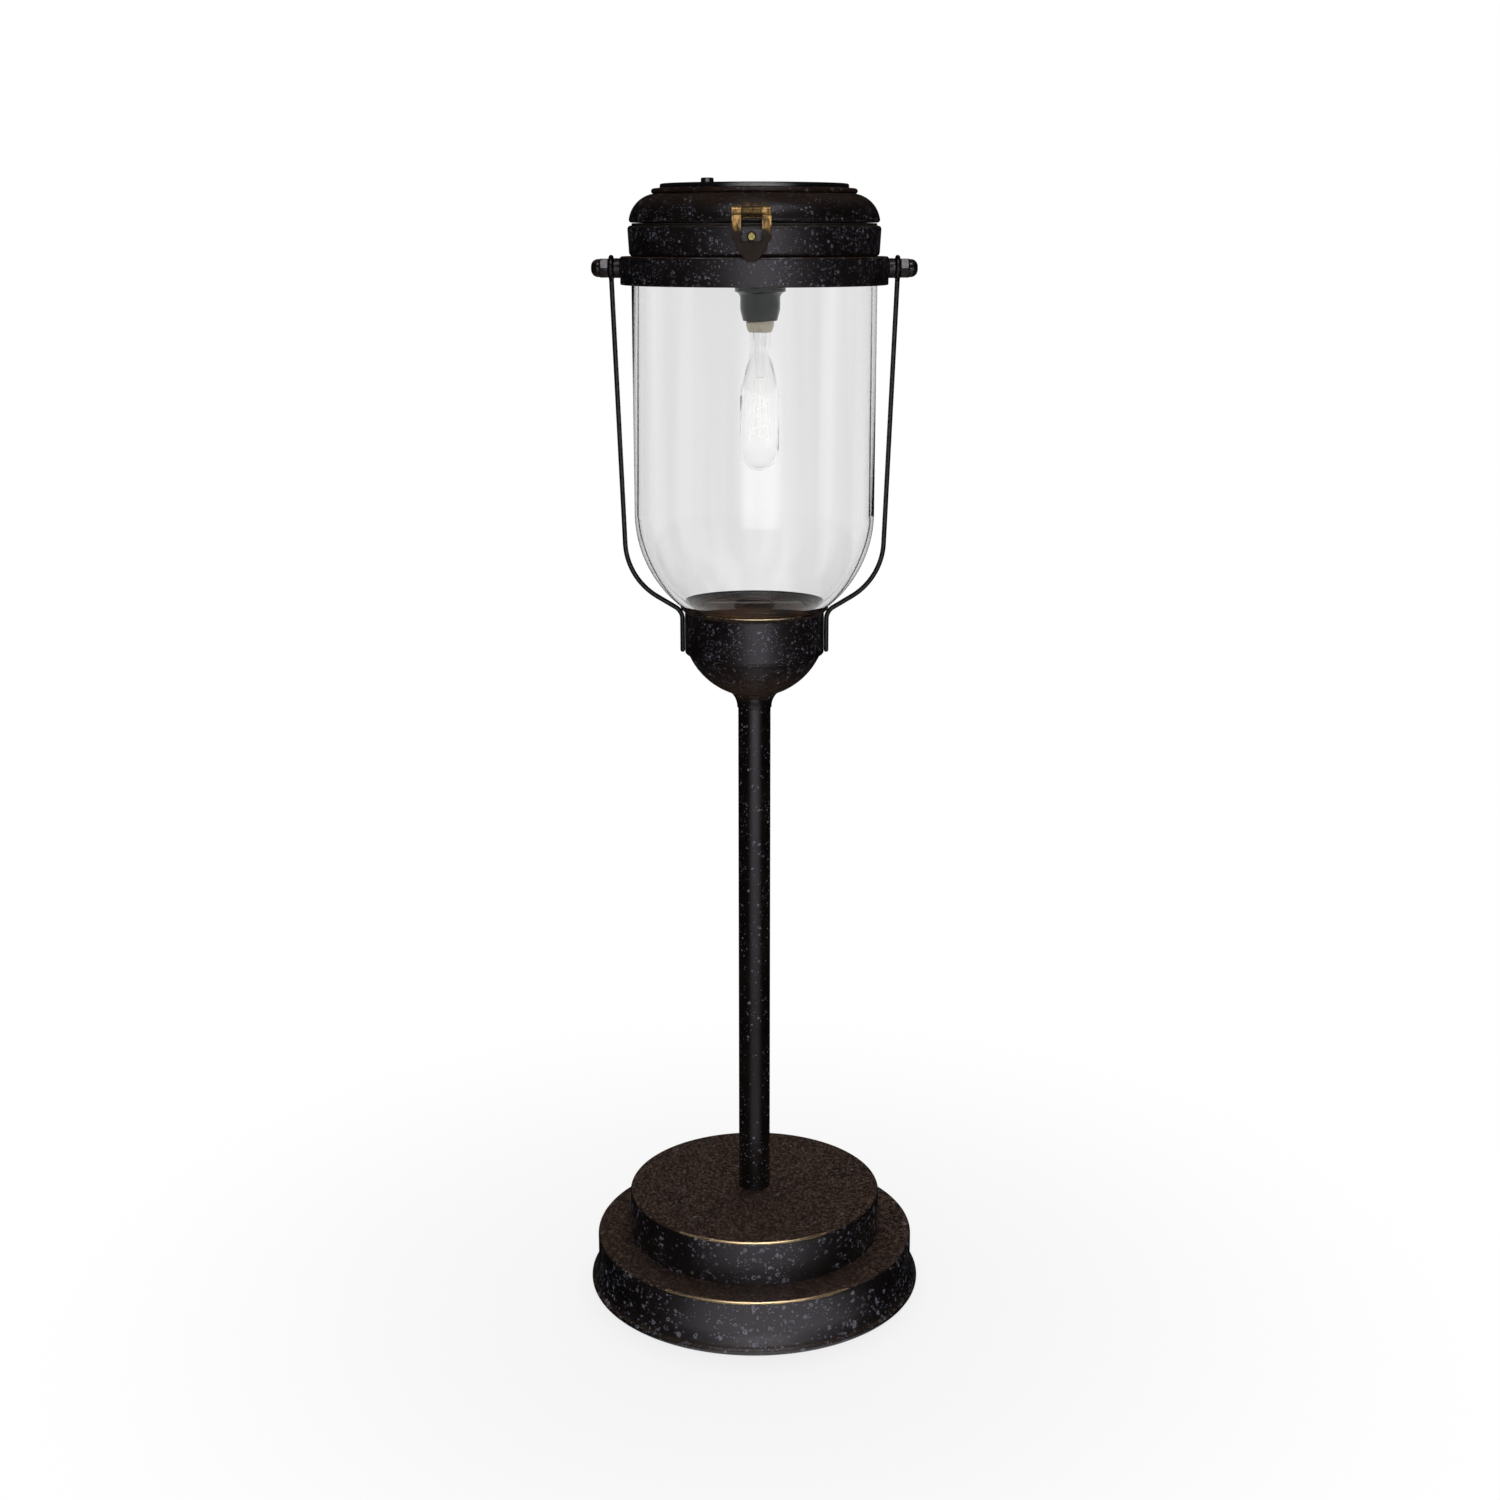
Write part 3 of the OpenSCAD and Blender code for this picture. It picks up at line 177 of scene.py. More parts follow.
def tube(path: Array, radius: float | Array, around: int, up: Sequence[float]) -> Array:
    """Carries a circle along a path that stays square to up.

    At each point the circle lies across the path: its points are the path's point plus radius times
    (side cos a + up sin a), where side is the path's direction turned a quarter round up.

    Args:
        path: Points of the centre line.
        radius: One radius, or one for each point.
        around: Columns round the tube.
        up: The direction square to the path.

    Returns:
        The grid of points, one row for each point of the path.
    """
    along = np.gradient(path, axis=0)
    along /= np.linalg.norm(along, axis=1, keepdims=True)
    side = np.cross(along, np.array(up, float))
    side /= np.linalg.norm(side, axis=1, keepdims=True)
    other = np.cross(side, along)
    a = np.linspace(0, 2 * np.pi, around, endpoint=False)
    reach = np.broadcast_to(radius, (len(path),))[:, None, None]
    ring = side[:, None, :] * np.cos(a)[None, :, None]
    ring = ring + other[:, None, :] * np.sin(a)[None, :, None]
    return path[:, None, :] + reach * ring


def rounded_tube(path: Array, radius: float, around: int, up: Sequence[float] = (0, 1, 0)) -> Array:
    """A tube whose ends are half balls: rows are added whose radius falls as the cosine of an angle.

    Args:
        path: Points of the centre line.
        radius: The tube's radius.
        around: Columns round the tube.
        up: The direction square to the path.

    Returns:
        The grid of points.
    """
    a = np.radians(np.array([90, 75, 60, 40, 20]))
    first, last = path[0] - path[1], path[-1] - path[-2]
    first, last = first / np.linalg.norm(first), last / np.linalg.norm(last)
    head = path[0] + radius * np.outer(np.sin(a), first)
    tail = path[-1] + radius * np.outer(np.sin(a[::-1]), last)
    reach = np.concatenate([radius * np.cos(a), np.full(len(path), radius), radius * np.cos(a[::-1])])
    return tube(np.concatenate([head, path, tail]), reach, around, up)


def slab(
    low: Sequence[float], high: Sequence[float], corner: float, edge: float, steps: int = 5
) -> Array:
    """A flat block with rounded corners and edges.

    Each row is a rectangle of half sides (hx - inset, hy - inset) whose corners are quarter circles, and the
    rows run from the middle of the underside over the edges to the middle of the top.

    Args:
        low: Lowest corner of its box.
        high: Highest corner of its box.
        corner: Radius of the upright corners.
        edge: Radius of the edges above and below.
        steps: Pieces in each quarter circle.

    Returns:
        The grid of points.
    """
    low, high = np.array(low, float), np.array(high, float)
    half, middle = (high - low) / 2, (high + low) / 2
    quarter = np.linspace(0, np.pi / 2, steps + 1)
    a = np.concatenate([quarter + i * np.pi / 2 for i in range(4)])
    sx = np.repeat([1, -1, -1, 1], steps + 1)
    sy = np.repeat([1, 1, -1, -1], steps + 1)
    bend = np.linspace(0, np.pi / 2, 4)
    rise, fall = edge * (1 - np.cos(bend)), edge * (1 - np.sin(bend))
    inset = np.concatenate([[half[0] * 2], fall, rise, [half[0] * 2]])
    height = np.concatenate([[low[2]], low[2] + rise, high[2] - fall, [high[2]]])
    reach = np.maximum(corner - inset, 0.0)[:, None]
    flat_x = np.maximum(half[0] - inset[:, None] - reach, 0.0)
    flat_y = np.maximum(half[1] - inset[:, None] - reach, 0.0)
    shape = (len(inset), len(a))
    x = middle[0] + sx * flat_x + reach * np.cos(a)
    y = middle[1] + sy * flat_y + reach * np.sin(a)
    return np.stack([x, y, np.broadcast_to(height[:, None], shape)], -1)


class Shell:
    """Closed grids of points that become one mesh, with a wear and a wall value at each vertex."""

    def __init__(self) -> None:
        """Starts with nothing in it."""
        self.points: list[Array] = []
        self.worn: list[Array] = []
        self.threes: list[Array] = []
        self.fours: list[Array] = []
        self.count = 0

    def add(self, grid: Array, wear: Array | None = None, ring: bool = False) -> Shell:
        """Adds a closed surface and makes it face outwards.

        Columns always close on themselves. A row whose points coincide is a pole and keeps one vertex. The
        surface is turned round where the volume it holds, the sum of its triangles' triple products, is
        negative.

        Args:
            grid: Points in millimetres, as rows, columns and the three axes.
            wear: How worn each row is, from 0 to 1.
            ring: True if the last row joins the first.

        Returns:
            The shell itself.
        """
        rows, columns, _ = grid.shape
        index = np.arange(rows * columns).reshape(rows, columns)
        pole = np.ptp(grid, axis=1).max(axis=1) < 1e-7
        index[pole] = index[pole][:, :1]
        row = np.arange(rows if ring else rows - 1)[:, None]
        column = np.arange(columns)
        a, d = index[row, column], index[row, (column + 1) % columns]
        b, c = index[(row + 1) % rows, column], index[(row + 1) % rows, (column + 1) % columns]
        quads = np.stack([a, b, c, d], -1).reshape(-1, 4)
        points = grid.reshape(-1, 3)
        p = points[quads] - points.mean(0)
        volume = np.einsum("ij,ij->", p[:, 0], np.cross(p[:, 1], p[:, 2]))
        volume += np.einsum("ij,ij->", p[:, 0], np.cross(p[:, 2], p[:, 3]))
        at_start, at_end = quads[:, 0] == quads[:, 3], quads[:, 1] == quads[:, 2]
        threes = np.concatenate([quads[at_start & ~at_end][:, :3], quads[at_end & ~at_start][:, [0, 1, 3]]])
        fours = quads[~at_start & ~at_end]
        if volume < 0:
            threes, fours = threes[:, ::-1], fours[:, ::-1]
        values = np.zeros(rows) if wear is None else wear
        self.points.append(points)
        self.worn.append(np.repeat(values, columns))
        self.threes.append(threes + self.count)
        self.fours.append(fours + self.count)
        self.count += len(points)
        return self

    def mesh(self, name: str) -> bpy.types.Mesh:
        """Writes the mesh in metres, with normals weighted by the area of the faces round each vertex.

        Args:
            name: The mesh's name.

        Returns:
            The mesh, smooth, with the attributes wear and wall. Wall is 1 where the surface stands upright.
        """
        points = np.concatenate(self.points) * MM
        wear = np.concatenate(self.worn)
        threes, fours = np.concatenate(self.threes), np.concatenate(self.fours)
        used, new = np.unique(np.concatenate([threes.ravel(), fours.ravel()]), return_inverse=True)
        threes, fours = new[: threes.size].reshape(-1, 3), new[threes.size :].reshape(-1, 4)
        points, wear = points[used], wear[used]
        normals = np.zeros_like(points)
        sides = np.concatenate([threes, fours[:, [0, 1, 2]], fours[:, [0, 2, 3]]])
        first, second, third = (points[sides[:, i]] for i in range(3))
        area = np.cross(second - first, third - first)
        for i in range(3):
            np.add.at(normals, sides[:, i], area)
        normals /= np.maximum(np.linalg.norm(normals, axis=1, keepdims=True), 1e-20)
        made = bpy.data.meshes.new(name)
        made.from_pydata(points.tolist(), [], threes.tolist() + fours.tolist())
        made.shade_smooth()
        made.normals_split_custom_set_from_vertices(normals.tolist())
        for label, values in (("wear", wear), ("wall", np.linalg.norm(normals[:, :2], axis=1))):
            carried = made.attributes.new(label, "FLOAT", "POINT")
            carried.data.foreach_set("value", values.astype(np.float32))
        return made


def ring_shell(corners: Sequence[Corner], around: int) -> Shell:
    """A closed ring turned about the lamp's axis from the rounded outline of its section."""
    profile, wear = outline(corners)
    return Shell().add(turned(profile, around), wear, ring=True)


def solid_shell(corners: Sequence[Corner], around: int, centre: tuple[float, float] = ON_AXIS) -> Shell:
    """A solid turned about an upright axis from an outline whose two ends lie on that axis."""
    profile, wear = outline(corners, closed=False)
    return Shell().add(turned(profile, around, centre), wear)


def joined(shells: Sequence[Shell]) -> Shell:
    """All the surfaces of several shells in one.

    Args:
        shells: The shells, which stay as they are.

    Returns:
        The new shell.
    """
    made = Shell()
    for shell in shells:
        made.points += shell.points
        made.worn += shell.worn
        made.threes += [t + made.count for t in shell.threes]
        made.fours += [f + made.count for f in shell.fours]
        made.count += shell.count
    return made


# ------------------------------------------------------------------------------------------------ materials


class Board:
    """A node tree with short ways to place and join its nodes."""

    def __init__(self, tree: bpy.types.NodeTree) -> None:
        """Keeps the tree that nodes go into."""
        self.tree = tree

    def node(self, kind: str, inputs: dict[Any, Any] | None = None, **settings: Any) -> bpy.types.Node:
        """Places a node.

        Args:
            kind: Its type.
            inputs: Values or sockets by the name or number of the input that takes them.
            settings: Its properties.

        Returns:
            The node.
        """
        made = self.tree.nodes.new(kind)
        for name, value in settings.items():
            setattr(made, name, value)
        for key, value in (inputs or {}).items():
            if isinstance(value, Socket):
                self.link(value, made, key)
            else:
                made.inputs[key].default_value = value
        return made

    def link(self, value: Socket, node: bpy.types.Node, key: str | int) -> None:
        """Joins a socket to the input of a node that has this name or number."""
        self.tree.links.new(value, node.inputs[key])

    def shared(self, tree: bpy.types.NodeTree, inputs: dict[str, Any]) -> bpy.types.NodeOutputs:
        """Places a shared group with values or sockets for its inputs, and gives its outputs."""
        return self.node("ShaderNodeGroup", inputs, node_tree=tree).outputs

    def calc(self, operation: str, a: Any, b: Any = 0.0, clamp: bool = False) -> Socket:
        """The result of a Math node on two values or sockets."""
        return self.node("ShaderNodeMath", {0: a, 1: b}, operation=operation, use_clamp=clamp).outputs[0]

    def vector(self, operation: str, inputs: dict[Any, Any], output: str = "Vector") -> Socket:
        """The result of a Vector Math node."""
        return self.node("ShaderNodeVectorMath", inputs, operation=operation).outputs[output]

    def times(self, a: Any, b: Any) -> Socket:
        """The product of two values."""
        return self.calc("MULTIPLY", a, b)

    def plus(self, a: Any, b: Any, clamp: bool = False) -> Socket:
        """The sum of two values, kept from 0 to 1 if clamp is true."""
        return self.calc("ADD", a, b, clamp)

    def minus(self, a: Any, b: Any, clamp: bool = False) -> Socket:
        """The first value less the second, kept from 0 to 1 if clamp is true."""
        return self.calc("SUBTRACT", a, b, clamp)

    def larger(self, a: Any, b: Any) -> Socket:
        """The larger of two values."""
        return self.calc("MAXIMUM", a, b)

    def step(self, value: Any, low: Any, high: Any, first: float = 0.0, last: float = 1.0) -> Socket:
        """A smooth step from first at low to last at high."""
        inputs = {"Value": value, "From Min": low, "From Max": high, "To Min": first, "To Max": last}
        return self.node("ShaderNodeMapRange", inputs, interpolation_type="SMOOTHSTEP").outputs["Result"]

    def stripe(self, value: Any, edges: Sequence[float], first: float = 0.0, top: float = 1.0) -> Socket:
        """Rises from first to top between the first two edges, and falls to 0 between the last two."""
        rise = self.step(value, *edges[:2], first, top)
        return self.times(rise, self.step(value, *edges[2:], 1.0, 0.0))

    def blend(self, factor: Any, a: Any, b: Any) -> Socket:
        """A mix of two values, of which b shows where the factor is 1."""
        return self.node("ShaderNodeMix", {0: factor, 2: a, 3: b}, data_type="FLOAT").outputs[0]

    def mix(self, factor: Any, a: str | Socket, b: str | Socket) -> Socket:
        """A mix of two colours, each a socket or #rrggbb, of which b shows where the factor is 1.

        Args:
            factor: A value or a socket, from 0 to 1.
            a: The first colour.
            b: The second colour.

        Returns:
            The colour's socket.
        """
        first, second = (linear(c) if isinstance(c, str) else c for c in (a, b))
        inputs = {0: factor, 6: first, 7: second}
        return self.node("ShaderNodeMix", inputs, data_type="RGBA", clamp_factor=True).outputs[2]

    def place(self, scale: tuple[float, float, float] = MILLIMETRES) -> Socket:
        """The place on the piece in its own coordinates, in millimetres, or stretched by another scale."""
        source = self.node("ShaderNodeTexCoord").outputs["Object"]
        return self.node("ShaderNodeMapping", {"Vector": source, "Scale": scale}).outputs[0]

    def axes(self, place: Socket) -> bpy.types.NodeOutputs:
        """A place's three coordinates, by the names X, Y and Z."""
        return self.node("ShaderNodeSeparateXYZ", {0: place}).outputs

    def from_axis(self, axes: bpy.types.NodeOutputs) -> Socket:
        """The distance from the lamp's upright axis: the root of X squared plus Y squared."""
        squares = [self.calc("POWER", axes[name], 2.0) for name in "XY"]
        return self.calc("SQRT", self.plus(*squares))

    def noise(self, place: Socket, size: float, detail: float = 2.0, rough: float = 0.5) -> Socket:
        """Clouds whose lumps are about size millimetres, from 0 to 1."""
        inputs = {"Vector": place, "Scale": 1.0 / size, "Detail": detail, "Roughness": rough}
        return self.node("ShaderNodeTexNoise", inputs).outputs["Fac"]

    def cells(self, place: Socket, size: float) -> tuple[Socket, Socket, Socket, Socket]:
        """Scattered points, of which each place belongs to the nearest.

        Args:
            place: The place.
            size: How far apart the points are, in millimetres.

        Returns:
            The distance to the nearest point, and three random values of that point.
        """
        made = self.node("ShaderNodeTexVoronoi", {"Vector": place, "Scale": 1.0 / size})
        split = self.node("ShaderNodeSeparateColor", {0: made.outputs["Color"]})
        return made.outputs["Distance"], *split.outputs[:3]

    def attribute(self, name: str) -> Socket:
        """A value that the piece's mesh carries."""
        return self.node("ShaderNodeAttribute", attribute_name=name).outputs["Fac"]

    def bump(self, height: Any, depth: float) -> Socket:
        """A normal from a height, whose full range is depth millimetres."""
        inputs = {"Strength": 1.0, "Distance": depth * MM, "Height": height}
        return self.node("ShaderNodeBump", inputs).outputs[0]


def emptied(owner: bpy.types.Material | bpy.types.World) -> Board:
    """Clears the node tree of a new material or world.

    Args:
        owner: The material or world.

    Returns:
        A board for its tree.
    """
    owner.use_nodes = True
    owner.node_tree.nodes.clear()
    return Board(owner.node_tree)


Filling = Callable[[Board, dict[str, Socket]], dict[str, Socket]]


def group(name: str, takes: dict[str, Any], gives: Sequence[str], fill: Filling) -> bpy.types.NodeTree:
    """Builds a shared node group once.

    Args:
        name: The group's name.
        takes: Its inputs, by name: a default number, or None for a vector.
        gives: The names of its outputs, each a value.
        fill: Places the nodes and returns the sockets of the outputs.

    Returns:
        The group's tree.
    """
    found = bpy.data.node_groups.get(name)
    if found:
        return found
    tree = bpy.data.node_groups.new(name, "ShaderNodeTree")
    for label, value in takes.items():
        kind = "NodeSocketVector" if value is None else "NodeSocketFloat"
        made = tree.interface.new_socket(label, in_out="INPUT", socket_type=kind)
        if value is not None:
            made.default_value = value
    for label in gives:
        tree.interface.new_socket(label, in_out="OUTPUT", socket_type="NodeSocketFloat")
    board = Board(tree)
    inner = board.node("NodeGroupInput")
    results = fill(board, {label: inner.outputs[label] for label in takes})
    board.node("NodeGroupOutput", results)
    return tree


def spatter_group() -> bpy.types.NodeTree:
    """Pale drops on dark metal: dots, rings, specks and short dashes, thicker in some places than in others.

    Returns:
        The group, which takes Place and Amount, and gives Spots and the Tone of each spot.
    """
    # Each kind: its place, how far apart its points are, its largest radius, the share that has a drop.
    kinds = (("bent", 2.7, 0.34, 0.62), ("bent", 1.25, 0.36, 0.55), ("flat", 2.3, 0.3, 0.4))

    def fill(b: Board, takes: dict[str, Socket]) -> dict[str, Socket]:
        """Shakes the place, then lays a drop round some of the points of three scatterings.

        Args:
            b: The group's board.
            takes: Its inputs.

        Returns:
            Its outputs.
        """
        place, amount = takes["Place"], takes["Amount"]
        cloud = b.noise(place, 13.0, 2.0)
        near = b.times(amount, b.step(cloud, 0.36, 0.62, 0.25, 1.5))
        shake = b.node("ShaderNodeTexNoise", {"Vector": place, "Scale": 1.1, "Detail": 2.0})
        push = b.vector("SUBTRACT", {0: shake.outputs["Color"], 1: (0.5, 0.5, 0.5)})
        push = b.vector("SCALE", {0: push, "Scale": 1.3})
        bent = b.vector("ADD", {0: place, 1: push})
        flat = b.node("ShaderNodeMapping", {"Vector": bent, "Scale": (1.0, 1.0, 2.6)}).outputs[0]
        found, tones = [], []
        for where, size, reach, share in kinds:
            distance, first, second, third = b.cells(bent if where == "bent" else flat, size)
            radius = b.times(b.plus(b.times(first, 0.75), 0.25), reach)
            dot = b.step(distance, b.times(radius, 0.75), b.times(radius, 1.15), 1.0, 0.0)
            hollow = b.step(distance, b.times(radius, 0.35), b.times(radius, 0.6))
            hollow = b.larger(hollow, b.calc("LESS_THAN", third, 0.62))
            there = b.calc("LESS_THAN", second, b.times(near, share))
            found.append(b.times(b.times(dot, hollow), there))
            tones.append(b.times(found[-1], b.plus(b.times(third, 0.7), 0.3)))
        spots = b.larger(b.larger(found[0], found[1]), found[2])
        tone = b.larger(b.larger(tones[0], tones[1]), tones[2])
        return {"Spots": spots, "Tone": tone}

    return group("spatter", {"Place": None, "Amount": 0.5}, ("Spots", "Tone"), fill)


def rub_group() -> bpy.types.NodeTree:
    """Where an edge has been rubbed bright: the wear of the mesh, broken up by two sizes of clouds.

    Returns:
        The group, which takes Place, Wear and Breaks, and gives a Mask.
    """

    def fill(b: Board, takes: dict[str, Socket]) -> dict[str, Socket]:
        """Takes the clouds from the wear and keeps what is left.

        Args:
            b: The group's board.
            takes: Its inputs.

        Returns:
            Its outputs.
        """
        coarse = b.noise(takes["Place"], 9.0, 3.0, 0.6)
        fine = b.noise(takes["Place"], 1.6, 2.0, 0.6)
        broken = b.plus(b.times(coarse, 0.75), b.times(fine, 0.5))
        worn = b.minus(takes["Wear"], b.times(broken, takes["Breaks"]))
        return {"Mask": b.step(worn, 0.02, 0.3)}

    return group("rub", {"Place": None, "Wear": 0.0, "Breaks": 0.9}, ("Mask",), fill)


def mottle_group() -> bpy.types.NodeTree:
    """Slow clouds and a fine mottle over them, for colour and gloss that vary from place to place.

    Returns:
        The group, which takes Place, and gives Slow, Fine and Both.
    """

    def fill(b: Board, takes: dict[str, Socket]) -> dict[str, Socket]:
        """Makes clouds of two sizes and their middle.

        Args:
            b: The group's board.
            takes: Its inputs.

        Returns:
            Its outputs.
        """
        slow = b.noise(takes["Place"], 22.0, 3.0, 0.55)
        fine = b.noise(takes["Place"], 1.4, 4.0, 0.7)
        return {
            "Slow": b.step(slow, 0.3, 0.7),
            "Fine": b.step(fine, 0.32, 0.68),
            "Both": b.plus(b.times(slow, 0.5), b.times(fine, 0.5)),
        }

    return group("mottle", {"Place": None}, ("Slow", "Fine", "Both"), fill)


def scratch_group() -> bpy.types.NodeTree:
    """Fine hairlines in two directions, for handled metal and plastic.

    Returns:
        The group, which takes Place, and gives Lines.
    """
    # Each direction: how the place is turned, and how it is stretched.
    directions = (((0.3, 0.5, 0.4), (0.12, 2.4, 2.4)), ((1.1, -0.4, 1.9), (2.0, 0.1, 2.0)))

    def fill(b: Board, takes: dict[str, Socket]) -> dict[str, Socket]:
        """Draws a thin line where stretched clouds cross their middle value.

        Args:
            b: The group's board.
            takes: Its inputs.

        Returns:
            Its outputs.
        """
        lines = []
        for turn, stretch in directions:
            inputs = {"Vector": takes["Place"], "Rotation": turn, "Scale": stretch}
            spun = b.node("ShaderNodeMapping", inputs)
            line = b.noise(spun.outputs[0], 1.0, 2.0, 0.6)
            lines.append(b.step(b.calc("ABSOLUTE", b.minus(line, 0.5)), 0.0, 0.02, 1.0, 0.0))
        return {"Lines": b.larger(lines[0], lines[1])}

    return group("scratches", {"Place": None}, ("Lines",), fill)


@dataclass(frozen=True)
class Finish:
    """A surface finish: each kind adds its own pattern to a Principled shader."""

    name: str
    slot: str
    colour: str
    roughness: float = 0.5
    metallic: float = 0.0
    specular: float = 0.5

    def material(self) -> bpy.types.Material:
        """Makes the material, or finds it if another piece had it made.

        Returns:
            The material.
        """
        label = f"{self.name}_finish"
        found = bpy.data.materials.get(label)
        if found:
            return found
        made = bpy.data.materials.new(label)
        board = emptied(made)
        inputs = {
            "Base Color": linear(self.colour),
            "Roughness": self.roughness,
            "Metallic": self.metallic,
            "Specular IOR Level": self.specular,
        }
        shader = board.node("ShaderNodeBsdfPrincipled", inputs)
        surface = self.dress(board, shader) or shader.outputs[0]
        board.node("ShaderNodeOutputMaterial", {"Surface": surface})
        return made

    def dress(self, b: Board, shader: bpy.types.Node) -> Socket | None:
        """Adds the pattern. Returns another surface to use, or None for the shader itself."""
        raise NotImplementedError


@dataclass(frozen=True)
class Patina(Finish):
    """Dark bronze patina: brown where flat, blacker on walls, spattered, and rubbed bright at edges."""

    # Painted shade: upright walls take this darker colour in place of the flat tops' colour.
    shaded_wall_colour: str = "#0b0706"
    drop_colour: str = "#7a7886"
    faint_colour: str = "#28282f"
    rub_and_highlight_colour: str = "#d9bd93"
    fleck_colour: str = "#6b5243"
    flecks: float = 0.5
    spatter: float = 0.8
    flat_spatter: float = 0.12
    drop_size: float = 1.0
    # Painted highlight: the rubbed colour shows only on edges that face the front, where it stands for the
    # edges' highlight as well as their wear.
    rub_and_highlight_front: tuple[float, float] = (0.66, 0.93)
    sheen_tint: str = "#efebf4"
    shade_colour: str = "#150d0a"
    wall_shade: str = "#15100f"

    def dress(self, b: Board, shader: bpy.types.Node) -> None:
        """Mixes the ground, the drops and the rubbed metal, and varies gloss and height with them.

        Args:
            b: The board of the material.
            shader: Its Principled shader.
        """
        place = b.place()
        wall = b.step(b.attribute("wall"), 0.55, 0.98)
        mottle = b.shared(mottle_group(), {"Place": place})
        share = {"Value": wall, "To Min": self.flat_spatter, "To Max": self.spatter}
        amount = b.node("ShaderNodeMapRange", share).outputs[0]
        fall = b.place((1000.0 / self.drop_size,) * 3)
        drops = b.shared(spatter_group(), {"Place": fall, "Amount": amount})
        split = b.axes(place)
        # Painted highlight: wear is kept to edges facing the front (-Y), so the rubbed colour there also
        # paints their highlight.
        ahead = b.calc("DIVIDE", split["Y"], b.times(b.from_axis(split), -1.0))
        front = b.step(ahead, *self.rub_and_highlight_front)
        wear = b.times(b.attribute("wear"), front)
        rub = b.shared(rub_group(), {"Place": place, "Wear": wear})
        lit = b.mix(b.times(mottle["Slow"], 0.6), self.colour, self.shade_colour)
        fleck = b.times(b.calc("POWER", mottle["Fine"], 2.5), self.flecks)
        lit = b.mix(fleck, lit, self.fleck_colour)
        # Painted shade: upright walls get their own darker colour, and the flat tops get the lit one.
        ground = b.mix(wall, lit, b.mix(mottle["Slow"], self.shaded_wall_colour, self.wall_shade))
        drop = b.mix(drops["Tone"], self.faint_colour, self.drop_colour)
        spotted = b.mix(drops["Spots"], ground, drop)
        b.link(b.mix(rub[0], spotted, self.rub_and_highlight_colour), shader, "Base Color")
        rough = b.plus(self.roughness - 0.07, b.times(mottle["Both"], 0.14))
        rough = b.plus(rough, b.times(drops["Spots"], 0.1))
        rough = b.minus(rough, b.times(rub[0], 0.12), clamp=True)
        b.link(rough, shader, "Roughness")
        b.link(rub[0], shader, "Metallic")
        height = b.plus(b.times(drops["Spots"], 0.5), mottle["Both"])
        height = b.minus(height, b.times(rub[0], 0.6))
        b.link(b.bump(height, 0.05), shader, "Normal")
        shader.inputs["Specular Tint"].default_value = linear(self.sheen_tint)


@dataclass(frozen=True)
class BareMetal(Finish):
    """Plated or bare metal: a slow change of tone, hairlines, and dull spots."""

    dull_colour: str = "#6b5a3a"
    dull: float = 0.35
    # Painted glow: the piece shines in its own colour without being a lamp; the tungsten uses it to look
    # white.
    glow: float = 0.0

    def dress(self, b: Board, shader: bpy.types.Node) -> None:
        """Mixes the dull tone in clouds, lets the hairlines catch the light, and adds the glow.

        Args:
            b: The board of the material.
            shader: Its Principled shader.
        """
        shader.inputs["Emission Color"].default_value = linear(self.colour)
        shader.inputs["Emission Strength"].default_value = self.glow
        place = b.place()
        mottle = b.shared(mottle_group(), {"Place": place})
        lines = b.shared(scratch_group(), {"Place": place})[0]
        share = b.times(b.step(mottle["Both"], 0.42, 0.62), self.dull)
        b.link(b.mix(share, self.colour, self.dull_colour), shader, "Base Color")
        rough = b.plus(self.roughness, b.times(share, 0.3))
        rough = b.plus(rough, b.times(lines, 0.12), clamp=True)
        b.link(rough, shader, "Roughness")
        height = b.minus(mottle["Both"], b.times(lines, 0.3))
        b.link(b.bump(height, 0.015), shader, "Normal")


@dataclass(frozen=True)
class AgedBrass(Finish):
    """Brass, bright where hands rub it and dark brown beyond, with dark streaks down the bright part."""

    dark_colour: str = "#100b08"
    brown_colour: str = "#24150d"
    bright_from: float = 553.5
    bright_to: float = 559.5
    darkness: float = 0.97
    streaks: float = 0.75
    drawn_out: tuple[float, float, float] = (1000.0, 1000.0, 260.0)

    def dress(self, b: Board, shader: bpy.types.Node) -> None:
        """Fades from brass to brown along the height, with the fade broken up by clouds and streaks.

        Args:
            b: The board of the material.
            shader: Its Principled shader.
        """
        place = b.place()
        mottle = b.shared(mottle_group(), {"Place": place})
        height = b.axes(place)["Z"]
        clouds = b.times(b.minus(b.noise(place, 2.2, 3.0, 0.6), 0.5), 9.0)
        bright = b.step(b.plus(height, clouds), self.bright_from, self.bright_to)
        drawn = b.noise(b.place(self.drawn_out), 1.1, 2.0, 0.6)
        streak = b.step(drawn, 0.42, 0.62, 0.0, self.streaks)
        bright = b.times(bright, b.minus(1.0, streak))
        dark = b.minus(1.0, b.times(bright, self.darkness))
        dark = b.plus(b.times(dark, self.darkness), b.times(mottle["Fine"], 0.15))
        tone = b.mix(mottle["Fine"], self.dark_colour, self.brown_colour)
        b.link(b.mix(dark, self.colour, tone), shader, "Base Color")
        b.link(b.minus(1.0, b.times(dark, 0.97), clamp=True), shader, "Metallic")
        rough = b.plus(self.roughness, b.times(dark, 0.25), clamp=True)
        b.link(rough, shader, "Roughness")
        b.link(b.bump(mottle["Fine"], 0.06), shader, "Normal")


